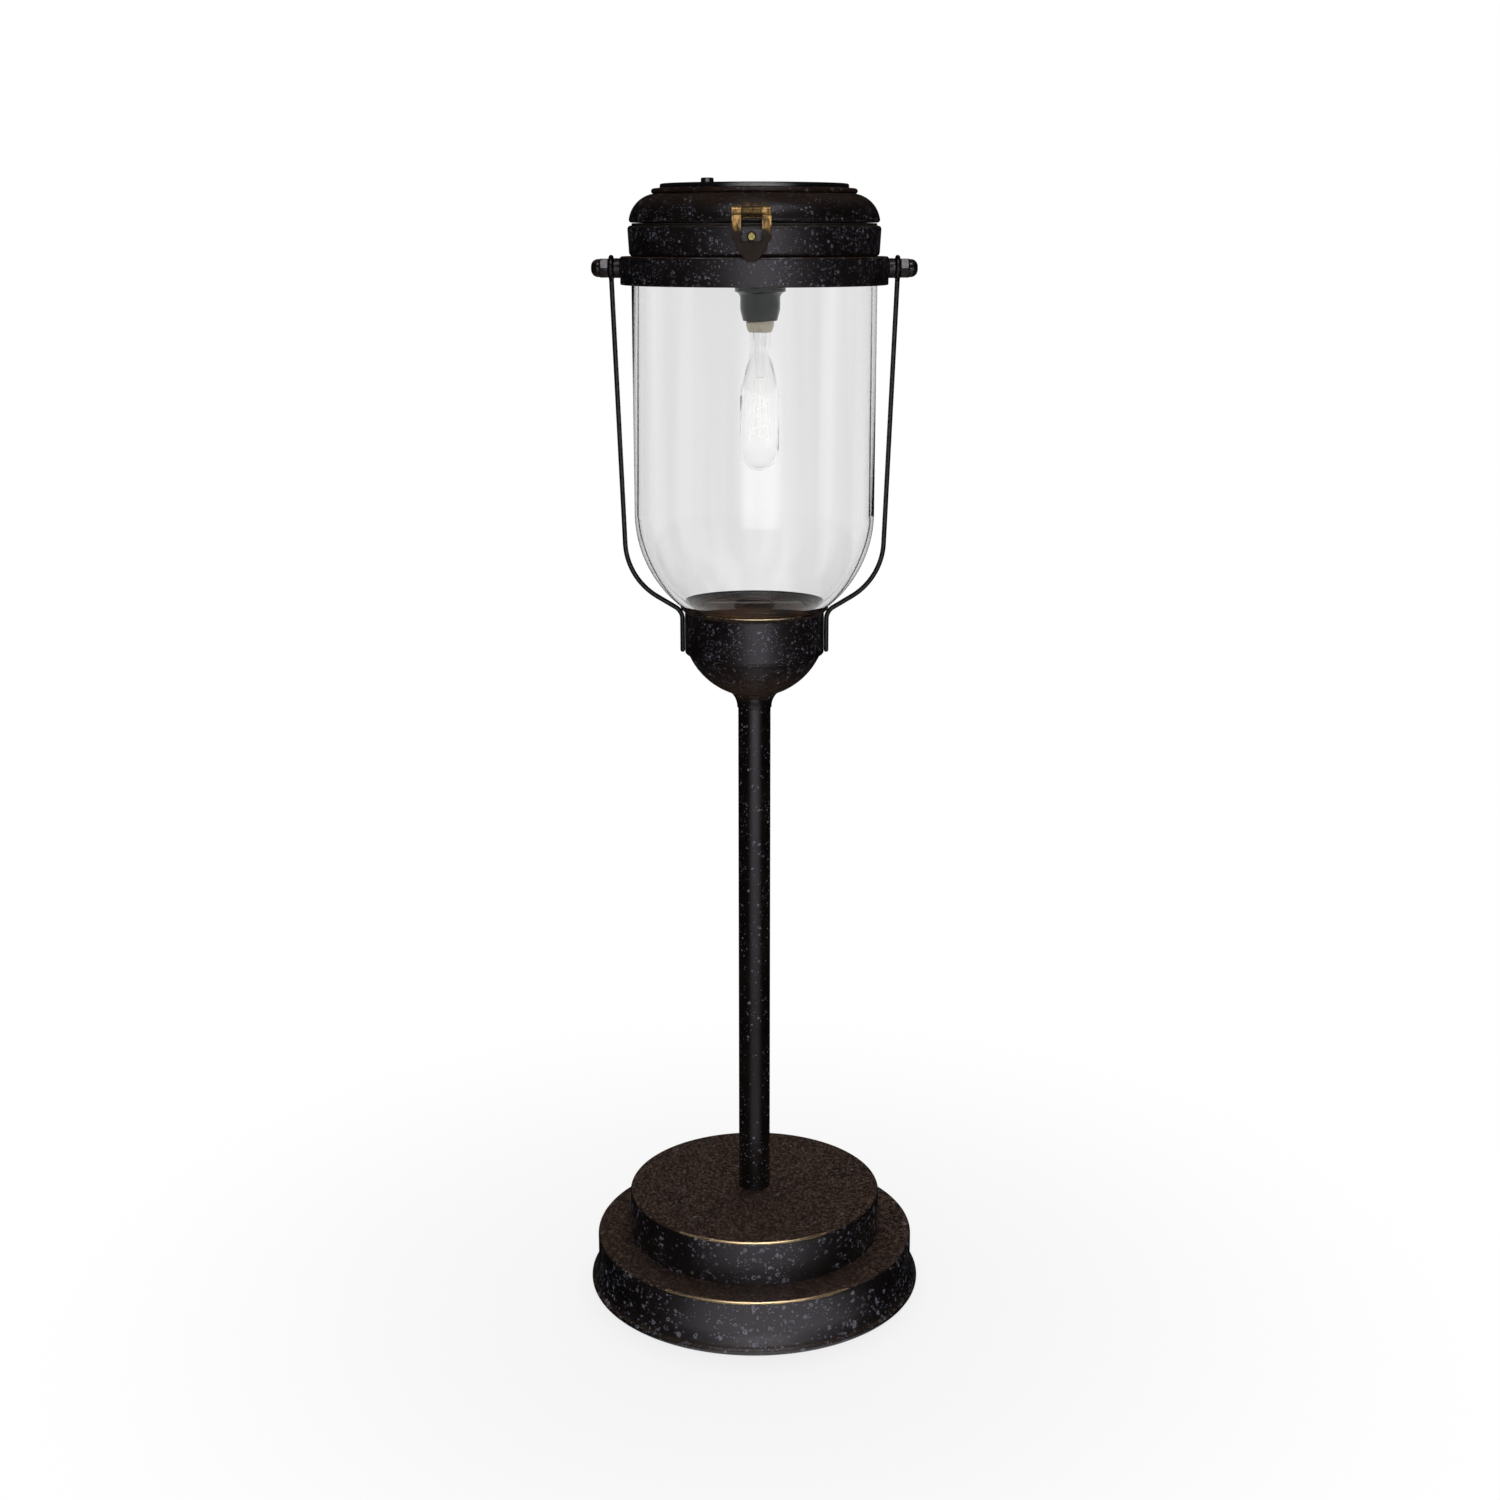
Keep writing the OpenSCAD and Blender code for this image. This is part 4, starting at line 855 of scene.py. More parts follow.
@dataclass(frozen=True)
class Moulded(Finish):
    """Moulded plastic, rubber or enamel: a fine grain, faint clouds and a few hairlines."""

    grain: float = 0.35
    depth: float = 0.03
    cloud_colour: str = "#26282a"

    def dress(self, b: Board, shader: bpy.types.Node) -> None:
        """Adds the grain to the height and the clouds to colour and gloss.

        Args:
            b: The board of the material.
            shader: Its Principled shader.
        """
        place = b.place()
        mottle = b.shared(mottle_group(), {"Place": place})
        lines = b.shared(scratch_group(), {"Place": place})[0]
        grain = b.noise(place, self.grain, 3.0, 0.6)
        share = b.times(mottle["Both"], 0.35)
        b.link(b.mix(share, self.colour, self.cloud_colour), shader, "Base Color")
        rough = b.plus(self.roughness - 0.05, b.times(mottle["Both"], 0.1))
        rough = b.plus(rough, b.times(lines, 0.05), clamp=True)
        b.link(rough, shader, "Roughness")
        b.link(b.bump(grain, self.depth), shader, "Normal")


@dataclass(frozen=True)
class Fibre(Finish):
    """Pressed felt: short lumps and fibres in two tones."""

    other_colour: str = "#3a3a3d"
    lump: float = 0.9

    def dress(self, b: Board, shader: bpy.types.Node) -> None:
        """Mixes the two tones by stretched clouds, which also raise the surface.

        Args:
            b: The board of the material.
            shader: Its Principled shader.
        """
        place = b.place()
        inputs = {"Vector": place, "Rotation": (0.4, 0.7, 0.2), "Scale": (0.25, 1.6, 1.6)}
        wound = b.node("ShaderNodeMapping", inputs)
        fibres = b.noise(wound.outputs[0], self.lump, 4.0, 0.7)
        lumps = b.noise(place, self.lump, 4.0, 0.7)
        both = b.times(b.plus(fibres, lumps), 0.5)
        share = b.step(both, 0.38, 0.64)
        b.link(b.mix(share, self.colour, self.other_colour), shader, "Base Color")
        b.link(b.bump(both, 0.25), shader, "Normal")


@dataclass(frozen=True)
class SpunSeat(Finish):
    """Brown lacquered plate with the faint rings that spinning leaves."""

    ring_pitch: float = 1.1
    cloud_colour: str = "#1f140f"
    pale_colour: str = "#5a4536"

    def dress(self, b: Board, shader: bpy.types.Node) -> None:
        """Waves along the radius tint the brown and raise fine ridges, over slow clouds.

        Args:
            b: The board of the material.
            shader: Its Principled shader.
        """
        place = b.place()
        mottle = b.shared(mottle_group(), {"Place": place})
        flat = b.vector("MULTIPLY", {0: place, 1: (1.0, 1.0, 0.0)})
        radius = b.vector("LENGTH", {0: flat}, "Value")
        wave = b.calc("SINE", b.times(radius, 2 * math.pi / self.ring_pitch))
        ridge = b.plus(b.times(wave, 0.25), mottle["Both"])
        ground = b.mix(mottle["Slow"], self.colour, self.cloud_colour)
        shade = b.mix(b.times(mottle["Fine"], 0.5), ground, self.pale_colour)
        b.link(shade, shader, "Base Color")
        rough = b.plus(self.roughness, b.times(mottle["Both"], 0.15))
        b.link(rough, shader, "Roughness")
        b.link(b.bump(ridge, 0.03), shader, "Normal")


@dataclass(frozen=True)
class Casting(Finish):
    """Sand-cast iron: a pitted grey skin with rust in its hollows."""

    rust_colour: str = "#5b3a26"

    def dress(self, b: Board, shader: bpy.types.Node) -> None:
        """Pits and lumps raise the skin, and rust fills the low places.

        Args:
            b: The board of the material.
            shader: Its Principled shader.
        """
        place = b.place()
        lumps = b.noise(place, 3.0, 5.0, 0.7)
        low = b.step(lumps, 0.5, 0.38)
        b.link(b.mix(low, self.colour, self.rust_colour), shader, "Base Color")
        b.link(b.bump(lumps, 0.6), shader, "Normal")


@dataclass(frozen=True)
class ClearGlass(Finish):
    """Clear glass that lets the lamps' light through, with faint waves left by the mould."""

    tint: str = "#f4f7f6"
    wave: float = 0.02
    wave_size: float = 26.0
    band_colour: str = "#ffffff"
    mirror: float = 0.3
    bending: float = 1.47
    drawn_out: tuple[float, float, float] = (1000.0, 1000.0, 350.0)
    band_scale: tuple[float, float, float] = (1000.0, 1000.0, 40.0)

    def dress(self, b: Board, shader: bpy.types.Node) -> Socket:
        """Sets the glass, with upright bands of two tones, and lets shadows and soft light through unbent.

        Args:
            b: The board of the material.
            shader: Its Principled shader.

        Returns:
            The surface, glass or clear.
        """
        place = b.place(self.drawn_out)
        waves = b.noise(place, self.wave_size, 1.0)
        smear = b.step(b.noise(place, 9.0, 3.0), 0.5, 0.75, 0.0, 0.03)
        b.link(b.plus(smear, self.roughness), shader, "Roughness")
        b.link(b.bump(waves, self.wave), shader, "Normal")
        bands = b.step(b.noise(b.place(self.band_scale), 17.0, 2.0), 0.4, 0.62)
        b.link(b.mix(bands, self.colour, self.band_colour), shader, "Base Color")
        shader.inputs["Specular Tint"].default_value = (self.mirror, self.mirror, self.mirror, 1.0)
        shader.inputs["Transmission Weight"].default_value = 1.0
        shader.inputs["IOR"].default_value = self.bending
        path = b.node("ShaderNodeLightPath").outputs
        through = b.larger(path["Is Shadow Ray"], path["Is Diffuse Ray"])
        clear = b.node("ShaderNodeBsdfTransparent", {0: linear(self.tint)})
        inputs = {0: through, 1: shader.outputs[0], 2: clear.outputs[0]}
        return b.node("ShaderNodeMixShader", inputs).outputs[0]


@dataclass(frozen=True)
class SolarCell(Finish):
    """Crystal solar cell: deep blue, with pale bus bars, thin fingers and cloudy crystals."""

    bar_pitch: float = 16.0
    bar_width: float = 0.55
    finger_pitch: float = 1.6
    finger_width: float = 0.1
    crystal_colour: str = "#20306a"
    line_colour: str = "#b9c0cc"

    def dress(self, b: Board, shader: bpy.types.Node) -> None:
        """Bars follow X, fingers follow Y, each a narrow band of its repeated distance.

        Args:
            b: The board of the material.
            shader: Its Principled shader.
        """
        place = b.place()
        split = b.axes(place)
        bars, fingers = (self.bar_pitch, self.bar_width), (self.finger_pitch, self.finger_width)
        lines = []
        for axis, (pitch, width) in (("X", bars), ("Y", fingers)):
            at = b.calc("PINGPONG", b.plus(split[axis], 1000.0 * pitch), pitch / 2)
            lines.append(b.calc("GREATER_THAN", at, pitch / 2 - width / 2))
        crystal = b.cells(place, 5.0)[1]
        blue = b.mix(crystal, self.colour, self.crystal_colour)
        line = b.larger(lines[0], b.times(lines[1], 0.45))
        b.link(b.mix(line, blue, self.line_colour), shader, "Base Color")
        b.link(b.times(line, 0.8), shader, "Metallic")
        rough = b.plus(self.roughness, b.times(crystal, 0.15))
        b.link(rough, shader, "Roughness")


@dataclass(frozen=True)
class CircuitBoard(Finish):
    """Green solder mask over copper tracks, with bare pads."""

    track_colour: str = "#4f8f57"
    pad_colour: str = "#c9c4b4"

    def dress(self, b: Board, shader: bpy.types.Node) -> None:
        """Tracks are thin bands of a cell pattern's walls, and pads are its middles.

        Args:
            b: The board of the material.
            shader: Its Principled shader.
        """
        place = b.place()
        made = b.node("ShaderNodeTexVoronoi", {"Vector": place, "Scale": 0.3}, distance="CHEBYCHEV")
        distance = made.outputs["Distance"]
        track = b.step(b.calc("ABSOLUTE", b.minus(distance, 0.38)), 0.03, 0.06, 1.0, 0.0)
        pad = b.step(distance, 0.1, 0.13, 1.0, 0.0)
        green = b.mix(b.times(track, 0.6), self.colour, self.track_colour)
        b.link(b.mix(pad, green, self.pad_colour), shader, "Base Color")
        b.link(pad, shader, "Metallic")
        b.link(b.bump(b.larger(track, pad), 0.05), shader, "Normal")


@dataclass(frozen=True)
class CellWrap(Finish):
    """Shrink wrap on a battery cell: a coloured sleeve with bare metal at both ends."""

    half: float = 23.2
    stripe: float = 6.0
    stripe_colour: str = "#d8dbd6"
    can_colour: str = "#b5b6b8"

    def dress(self, b: Board, shader: bpy.types.Node) -> None:
        """The sleeve ends at a set distance from the middle, and thin wrinkles run round it.

        Args:
            b: The board of the material.
            shader: Its Principled shader.
        """
        place = b.place()
        across = b.calc("ABSOLUTE", b.axes(place)["X"])
        bare = b.calc("GREATER_THAN", across, self.half)
        stripe = b.calc("GREATER_THAN", across, self.half - self.stripe)
        wrap = b.mix(stripe, self.colour, self.stripe_colour)
        b.link(b.mix(bare, wrap, self.can_colour), shader, "Base Color")
        b.link(bare, shader, "Metallic")
        wrinkles = b.noise(b.place((300.0, 1800.0, 1800.0)), 1.2, 3.0)
        b.link(b.bump(wrinkles, 0.05), shader, "Normal")


class Look(Enum):
    """The finishes of the lamp's pieces."""

    TIER = Patina(
        "tier_patina", "base_metal", "#22160f", 0.42, specular=0.57, fleck_colour="#7d675a", flecks=0.6,
        spatter=1.7, flat_spatter=0.08, drop_size=1.6,
    )  # fmt: skip
    POLE = Patina("pole_patina", "bronze", "#2a211c", 0.24, specular=0.45, spatter=0.45)
    BRONZE = Patina(
        "bronze_patina", "bronze", "#271d17", 0.37, specular=0.36, rub_and_highlight_colour="#ecd9b0",
        spatter=1.2, drop_size=0.9,
    )  # fmt: skip
    BAND = Patina(
        "band_patina", "bronze", "#33271f", 0.4, specular=0.42, rub_and_highlight_colour="#9c9aa2",
        spatter=1.3, drop_size=0.9,
    )  # fmt: skip
    LID = Patina(
        "lid_patina", "bronze", "#241a14", 0.38, specular=0.28, fleck_colour="#3d2c21",
        spatter=1.2, flat_spatter=0.4, drop_size=0.9,
    )  # fmt: skip
    WIRE = Moulded(
        "wire_enamel", "wire", "#090707", 0.42, specular=0.3, depth=0.02, cloud_colour="#1a1411",
    )  # fmt: skip
    SEAT = SpunSeat("seat_lacquer", "seat_metal", "#8a5335", 0.32)
    CAST = Casting("cast_iron", "casting", "#47474a", 0.75, 0.6)
    STEEL = BareMetal("zinc_steel", "steel", "#b2b4b8", 0.32, 1.0, dull_colour="#7d7f83")
    # The tungsten's glow is painted: it makes the filament and all its wires shine white.
    TUNGSTEN = BareMetal("tungsten", "tungsten", "#f1eee8", 0.45, 0.15, dull_colour="#c4c0b8", glow=0.7)
    BRASS = BareMetal("bright_brass", "brass", "#736a42", 0.24, 1.0, dull_colour="#57482a")
    CAP_BRASS = BareMetal("pale_brass", "brass", "#b7b0a0", 0.28, 1.0, dull_colour="#857a60")
    CLASP = AgedBrass(
        "aged_clasp", "aged_brass", "#67512f", 0.34, 1.0, 0.3, bright_from=568.5, bright_to=565.0,
    )  # fmt: skip
    HASP = AgedBrass("aged_hasp", "aged_brass", "#b9935c", 0.3, 1.0, 0.25)
    FELT = Fibre("black_felt", "felt", "#161618", 0.95, specular=0.2)
    RUBBER = Moulded("black_rubber", "gasket", "#17181a", 0.6, grain=0.5, depth=0.04)
    JAR = ClearGlass("jar_glass", "jar_glass", "#efefef", 0.0, band_colour="#f6f6f6")
    BULB = ClearGlass(
        "bulb_glass", "bulb_glass", "#ffffff", 0.0, wave=0.12, wave_size=3.5, mirror=1.0,
    )  # fmt: skip
    WINDOW = ClearGlass("window_glass", "window_glass", "#ffffff", 0.02, wave=0.0)
    CELL = SolarCell("solar_cell", "cell", "#141d44", 0.22)
    BOARD = CircuitBoard("circuit_board", "board", "#2a5a36", 0.35)
    PANEL = Moulded(
        "panel_plastic", "black_plastic", "#101014", 0.2, specular=0.9, grain=0.5, depth=0.02,
    )  # fmt: skip
    HOLDER = Moulded(
        "holder_plastic", "holder_plastic", "#0d1512", 0.2, specular=0.6, depth=0.01,
        cloud_colour="#1c2a25",
    )  # fmt: skip
    TRAY = Moulded("tray_plastic", "tray_plastic", "#1c1c20", 0.5, grain=0.6, depth=0.04)
    WRAP = CellWrap("cell_wrap", "battery_wrap", "#2f7a55", 0.35)


def piece(name: str, mesh: bpy.types.Mesh, look: Look, body: Body, *nodes: str) -> bpy.types.Object:
    """Makes the object of a mesh, dresses it, and says what it stands for.

    Args:
        name: The piece's name.
        mesh: Its mesh, already in place.
        look: Its finish.
        body: What it rides on.
        nodes: The packed solids that it stands for.

    Returns:
        The object.
    """
    made = bpy.data.objects.new(name, mesh)
    bpy.context.scene.collection.objects.link(made)
    made.data.materials.clear()
    made.data.materials.append(look.value.material())
    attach(made, body.value)
    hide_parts(*nodes)
    LOG.info("%s: %d faces, rides on %s", name, len(mesh.polygons), body.value)
    return made


# Edges that turn by more than this are sharp and get broken by a bevel.
SHARP = math.radians(32)


def machined(node: str, look: Look, body: Body, bevel: float) -> bpy.types.Object:
    """A cleaned copy of a packed solid, with its doubles merged and its edges broken by a small bevel.

    Args:
        node: The packed solid, which the copy stands for.
        look: Its finish.
        body: What it rides on.
        bevel: Width of the broken edges.

    Returns:
        The object.
    """
    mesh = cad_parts[node].data.copy()
    mesh.name = f"{node}_machined"
    work = bmesh.new()
    work.from_mesh(mesh)
    bmesh.ops.remove_doubles(work, verts=work.verts, dist=1e-6)
    bmesh.ops.dissolve_limit(work, angle_limit=math.radians(0.4), verts=work.verts, edges=work.edges)
    for edge in work.edges:
        edge.smooth = edge.calc_face_angle(0.0) < SHARP
    for face in work.faces:
        face.smooth = True
    work.to_mesh(mesh)
    work.free()
    made = piece(f"{node}_machined", mesh, look, body, node)
    cut = made.modifiers.new("broken_edges", "BEVEL")
    cut.width = bevel * MM
    cut.segments = 2
    cut.limit_method = "ANGLE"
    cut.angle_limit = SHARP
    cut.harden_normals = True
    return made


def dress_nodes(look: Look, *nodes: str) -> None:
    """Gives packed solids that stay in the scene a finish.

    Args:
        look: The finish.
        nodes: The packed solids.
    """
    for node in nodes:
        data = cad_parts[node].data
        data.materials.clear()
        data.materials.append(look.value.material())
        LOG.info("%s: packed solid, finish %s", node, look.value.name)


# ------------------------------------------------------------------------------------------------ the lamp


@dataclass
class Base:
    """The two spun tiers over their cast weight, and the felt underneath."""

    bead_x: float = 87.0
    bead_z: float = 2.2
    bead_r: float = 1.8
    bead_top: float = 4.0
    wall_r: float = 85.0
    flare: float = 2.6
    flare_h: float = 9.0
    lower_top: float = 28.8
    upper_r: float = 67.2
    upper_top: float = 52.8
    sheet: float = 1.2
    rod_hole: float = 4.3
    edge: float = 2.0
    felt_r: float = 84.9
    felt_top: float = 4.0
    seam: float = 0.01

    def lower_corners(self) -> list[Corner]:
        """The lower tier's section: a rolled bead, a flare that eases into the wall as a sine, and the top.

        Returns:
            The section's corners.
        """
        t = np.linspace(0, 1, 12)
        flare_r = self.wall_r + self.flare * (1 - np.sin(t * math.pi / 2))
        flare_z = self.bead_top - 0.3 + self.flare_h * t
        outer = pairs(flare_r, flare_z)
        inner = [(r - self.sheet, z) for r, z in outer]
        bead = arc(self.bead_x, self.bead_z, self.bead_r, -200, 62, 18)
        return (
            [*bead, *outer[1:], (self.wall_r, self.lower_top, self.edge, 1.0)]
            + [(self.rod_hole, self.lower_top), (self.rod_hole, self.lower_top - self.sheet)]
            + [(self.wall_r - self.sheet, self.lower_top - self.sheet, self.edge - self.sheet), *inner[::-1]]
        )

    def upper_corners(self) -> list[Corner]:
        """The upper tier's section: a wall and a top, joined by a small bend.

        Returns:
            The section's corners.
        """
        inner = self.upper_r - self.sheet
        return [
            (inner, self.lower_top + self.seam, 0.2),
            (self.upper_r, self.lower_top + self.seam, 0.2),
            (self.upper_r, self.upper_top, self.edge, 1.0),
            (self.rod_hole, self.upper_top),
            (self.rod_hole, self.upper_top - self.sheet),
            (inner, self.upper_top - self.sheet, self.edge - self.sheet),
        ]

    def build(self) -> None:
        """Makes the tiers and the felt, and dresses what is hidden inside."""
        lower = ring_shell(self.lower_corners(), 224).mesh("lower_tier")
        piece("lower_tier_spun", lower, Look.TIER, Body.STAND, "lower_tier")
        upper = ring_shell(self.upper_corners(), 192).mesh("upper_tier")
        piece("upper_tier_spun", upper, Look.TIER, Body.STAND, "upper_tier")
        felt = [(0, 0), (self.felt_r, 0, 0.6), (self.felt_r, self.felt_top, 0.6), (0, self.felt_top)]
        piece("felt_disc", solid_shell(felt, 160).mesh("felt"), Look.FELT, Body.STAND, "felt_pad")
        dress_nodes(Look.CAST, "cast_weight")
        dress_nodes(Look.STEEL, "cover_plate", "tier_spacer", "tie_rod", "rod_nuts", "rod_washers")


@dataclass
class Stem:
    """The pole with its collar, and the bowl, cup and seat that it carries."""

    pole_r: float = 8.3
    pole_foot: float = 52.8
    pole_top: float = 323.6
    wall: float = 1.2
    rod_hole: float = 4.3
    bowl_r: float = 36.3794
    bowl_z: float = 361.579
    cup_r: float = 35.2
    cup_foot: float = 348.0
    cup_top: float = 371.6
    lip_h: float = 2.6
    lip_in: float = 36.81
    floor_in: float = 30.5
    seat_z: float = 368.0
    seat_r: float = 33.7
    pad_in: float = 6.0
    pad_r: float = 32.0
    pad_h: float = 1.0
    trumpet: float = 10.5
    trumpet_turn: float = 55.2
    fit: float = 0.05

    def collar_corners(self) -> list[Corner]:
        """The collar's section: a trumpet that is part of a circle, under a top that follows the bowl.

        Returns:
            The section's corners.
        """
        foot_r, foot_z = self.pole_r + 0.5, self.bowl_z - self.bowl_r - 5.8
        a = np.radians(np.linspace(0, self.trumpet_turn, 14))
        outer = pairs(foot_r + self.trumpet * (1 - np.cos(a)), foot_z + self.trumpet * np.sin(a))
        r = np.linspace(outer[-1][0] - 0.25, self.pole_r + self.fit, 8)
        saddle_z = self.bowl_z - np.sqrt((self.bowl_r + self.fit) ** 2 - r**2)
        keep = [p for p in outer if p[1] < self.bowl_z - math.sqrt(self.bowl_r**2 - p[0] ** 2) - 0.1]
        return [(self.pole_r + self.fit, foot_z, 0.1), *keep, *pairs(r, saddle_z)]

    def bowl_corners(self) -> list[Corner]:
        """The bowl's section: two circles about one centre, from the rod's hole up to the cup.

        Returns:
            The section's corners.
        """
        inner = self.bowl_r - self.wall
        radii, rise = (self.bowl_r, inner), self.bowl_z - self.cup_foot
        low, low_in = (math.degrees(math.asin(self.rod_hole / r)) - 90 for r in radii)
        rim, rim_in = (-math.degrees(math.asin(rise / r)) for r in radii)
        outside = arc(0, self.bowl_z, self.bowl_r, low, rim, 28)
        outside[-1] = (*outside[-1], 0.0, 0.5)
        return outside + arc(0, self.bowl_z, inner, rim_in, low_in, 28)

    def cup_corners(self) -> list[Corner]:
        """The cup's section: a floor turned inwards, a straight wall, and a lip that leans out.

        Returns:
            The section's corners.
        """
        inner, out = self.cup_r - self.wall, self.lip_in + self.wall
        return [
            (self.floor_in, self.cup_foot),
            (self.cup_r, self.cup_foot, 0.5, 0.55),
            (self.cup_r, self.cup_top - self.lip_h, 1.2),
            (out, self.cup_top, 0.45, 1.6),
            (self.lip_in, self.cup_top, 0.45, 1.6),
            (inner, self.cup_top - self.lip_h, 1.0),
            (inner, self.cup_foot + self.wall, 0.4),
            (self.floor_in, self.cup_foot + self.wall),
        ]

    def seat_corners(self) -> list[Corner]:
        """The seat's section: a dished plate whose rim turns down on to the cup's floor.

        Returns:
            The section's corners.
        """
        rim = self.seat_r - self.wall
        return [
            (0, self.seat_z - self.wall),
            (rim, self.seat_z - self.wall, 0.8),
            (rim, self.cup_foot + self.wall),
            (self.seat_r, self.cup_foot + self.wall),
            (self.seat_r, self.seat_z, 1.5),
            (0, self.seat_z),
        ]

    def build(self) -> None:
        """Makes the pole, collar, bowl, cup, seat and pad."""
        inner = self.pole_r - self.wall
        pole = hollow(inner, self.pole_r, self.pole_foot, self.pole_top, 0.2)
        piece("pole_tube", ring_shell(pole, 72).mesh("pole"), Look.POLE, Body.STAND, "pole")
        collar = ring_shell(self.collar_corners(), 72).mesh("collar")
        piece("collar_spun", collar, Look.POLE, Body.STAND, "bowl_collar")
        bowl = ring_shell(self.bowl_corners(), 128).mesh("bowl")
        piece("bowl_spun", bowl, Look.BRONZE, Body.STAND, "bowl")
        cup = ring_shell(self.cup_corners(), 144).mesh("cup")
        piece("cup_spun", cup, Look.BRONZE, Body.STAND, "cup")
        seat = solid_shell(self.seat_corners(), 128).mesh("seat")
        piece("seat_spun", seat, Look.SEAT, Body.STAND, "seat_plate")
        pad = hollow(self.pad_in, self.pad_r, self.seat_z, self.seat_z + self.pad_h, 0.3)
        piece("seat_ring", ring_shell(pad, 128).mesh("pad"), Look.SEAT, Body.STAND, "seat_pad")


@dataclass
class Jar:
    """The blown jar: a ball that runs on into a straight wall, with a thickened mouth, and its gasket."""

    outer: float = 59.8
    inner: float = 57.2
    centre_z: float = 419.0
    foot_z: float = 369.0
    foot_r: float = 32.8
    floor_z: float = 372.2
    punt_r: float = 25.3
    punt_h: float = 0.8
    lip_r: float = 61.4
    lip_h: float = 5.6
    top: float = 541.6
    gasket: float = 0.7
    gasket_wall: float = 1.1
    skirt_h: float = 5.0

    def corners(self) -> list[Corner]:
        """The jar's section, from the middle of its foot round the outside and back to its floor.

        Returns:
            The section's corners.
        """
        turn = math.degrees(math.asin((self.centre_z - self.foot_z) / self.outer))
        turn_in = math.degrees(math.asin((self.centre_z - self.floor_z) / self.inner))
        lip_z = self.top - self.lip_h
        ball = arc(0, self.centre_z, self.outer, -turn, 0, 40)[1:]
        return [
            (0, self.foot_z + self.punt_h),
            (self.punt_r, self.foot_z + self.punt_h, 2.0),
            (self.foot_r - 5, self.foot_z, 1.5),
            (self.foot_r, self.foot_z, 0.6),
            *ball,
            (self.outer, lip_z, 1.5),
            (self.lip_r, lip_z + 1.8, 1.0),
            (self.lip_r, self.top, 1.2),
            (self.inner, self.top, 1.0),
            *arc(0, self.centre_z, self.inner, 0, -turn_in, 40),
            (0, self.floor_z),
        ]

    def build(self) -> None:
        """Makes the glass and the gasket over its mouth."""
        piece("jar_blown", solid_shell(self.corners(), 192).mesh("jar"), Look.JAR, Body.STAND, "glass_jar")
        skirt, deep = self.lip_r + 0.1, self.top - self.skirt_h
        outer = skirt + self.gasket_wall
        low, high = self.top + 0.02, self.top + self.gasket
        gasket = [
            (skirt, deep, 0.2), (outer, deep, 0.2), (outer, high, 0.3),
            (self.inner, high, 0.2), (self.inner, low, 0.2), (skirt, low),
        ]  # fmt: skip
        piece("gasket_ring", ring_shell(gasket, 144).mesh("gasket"), Look.RUBBER, Body.STAND, "jar_gasket")


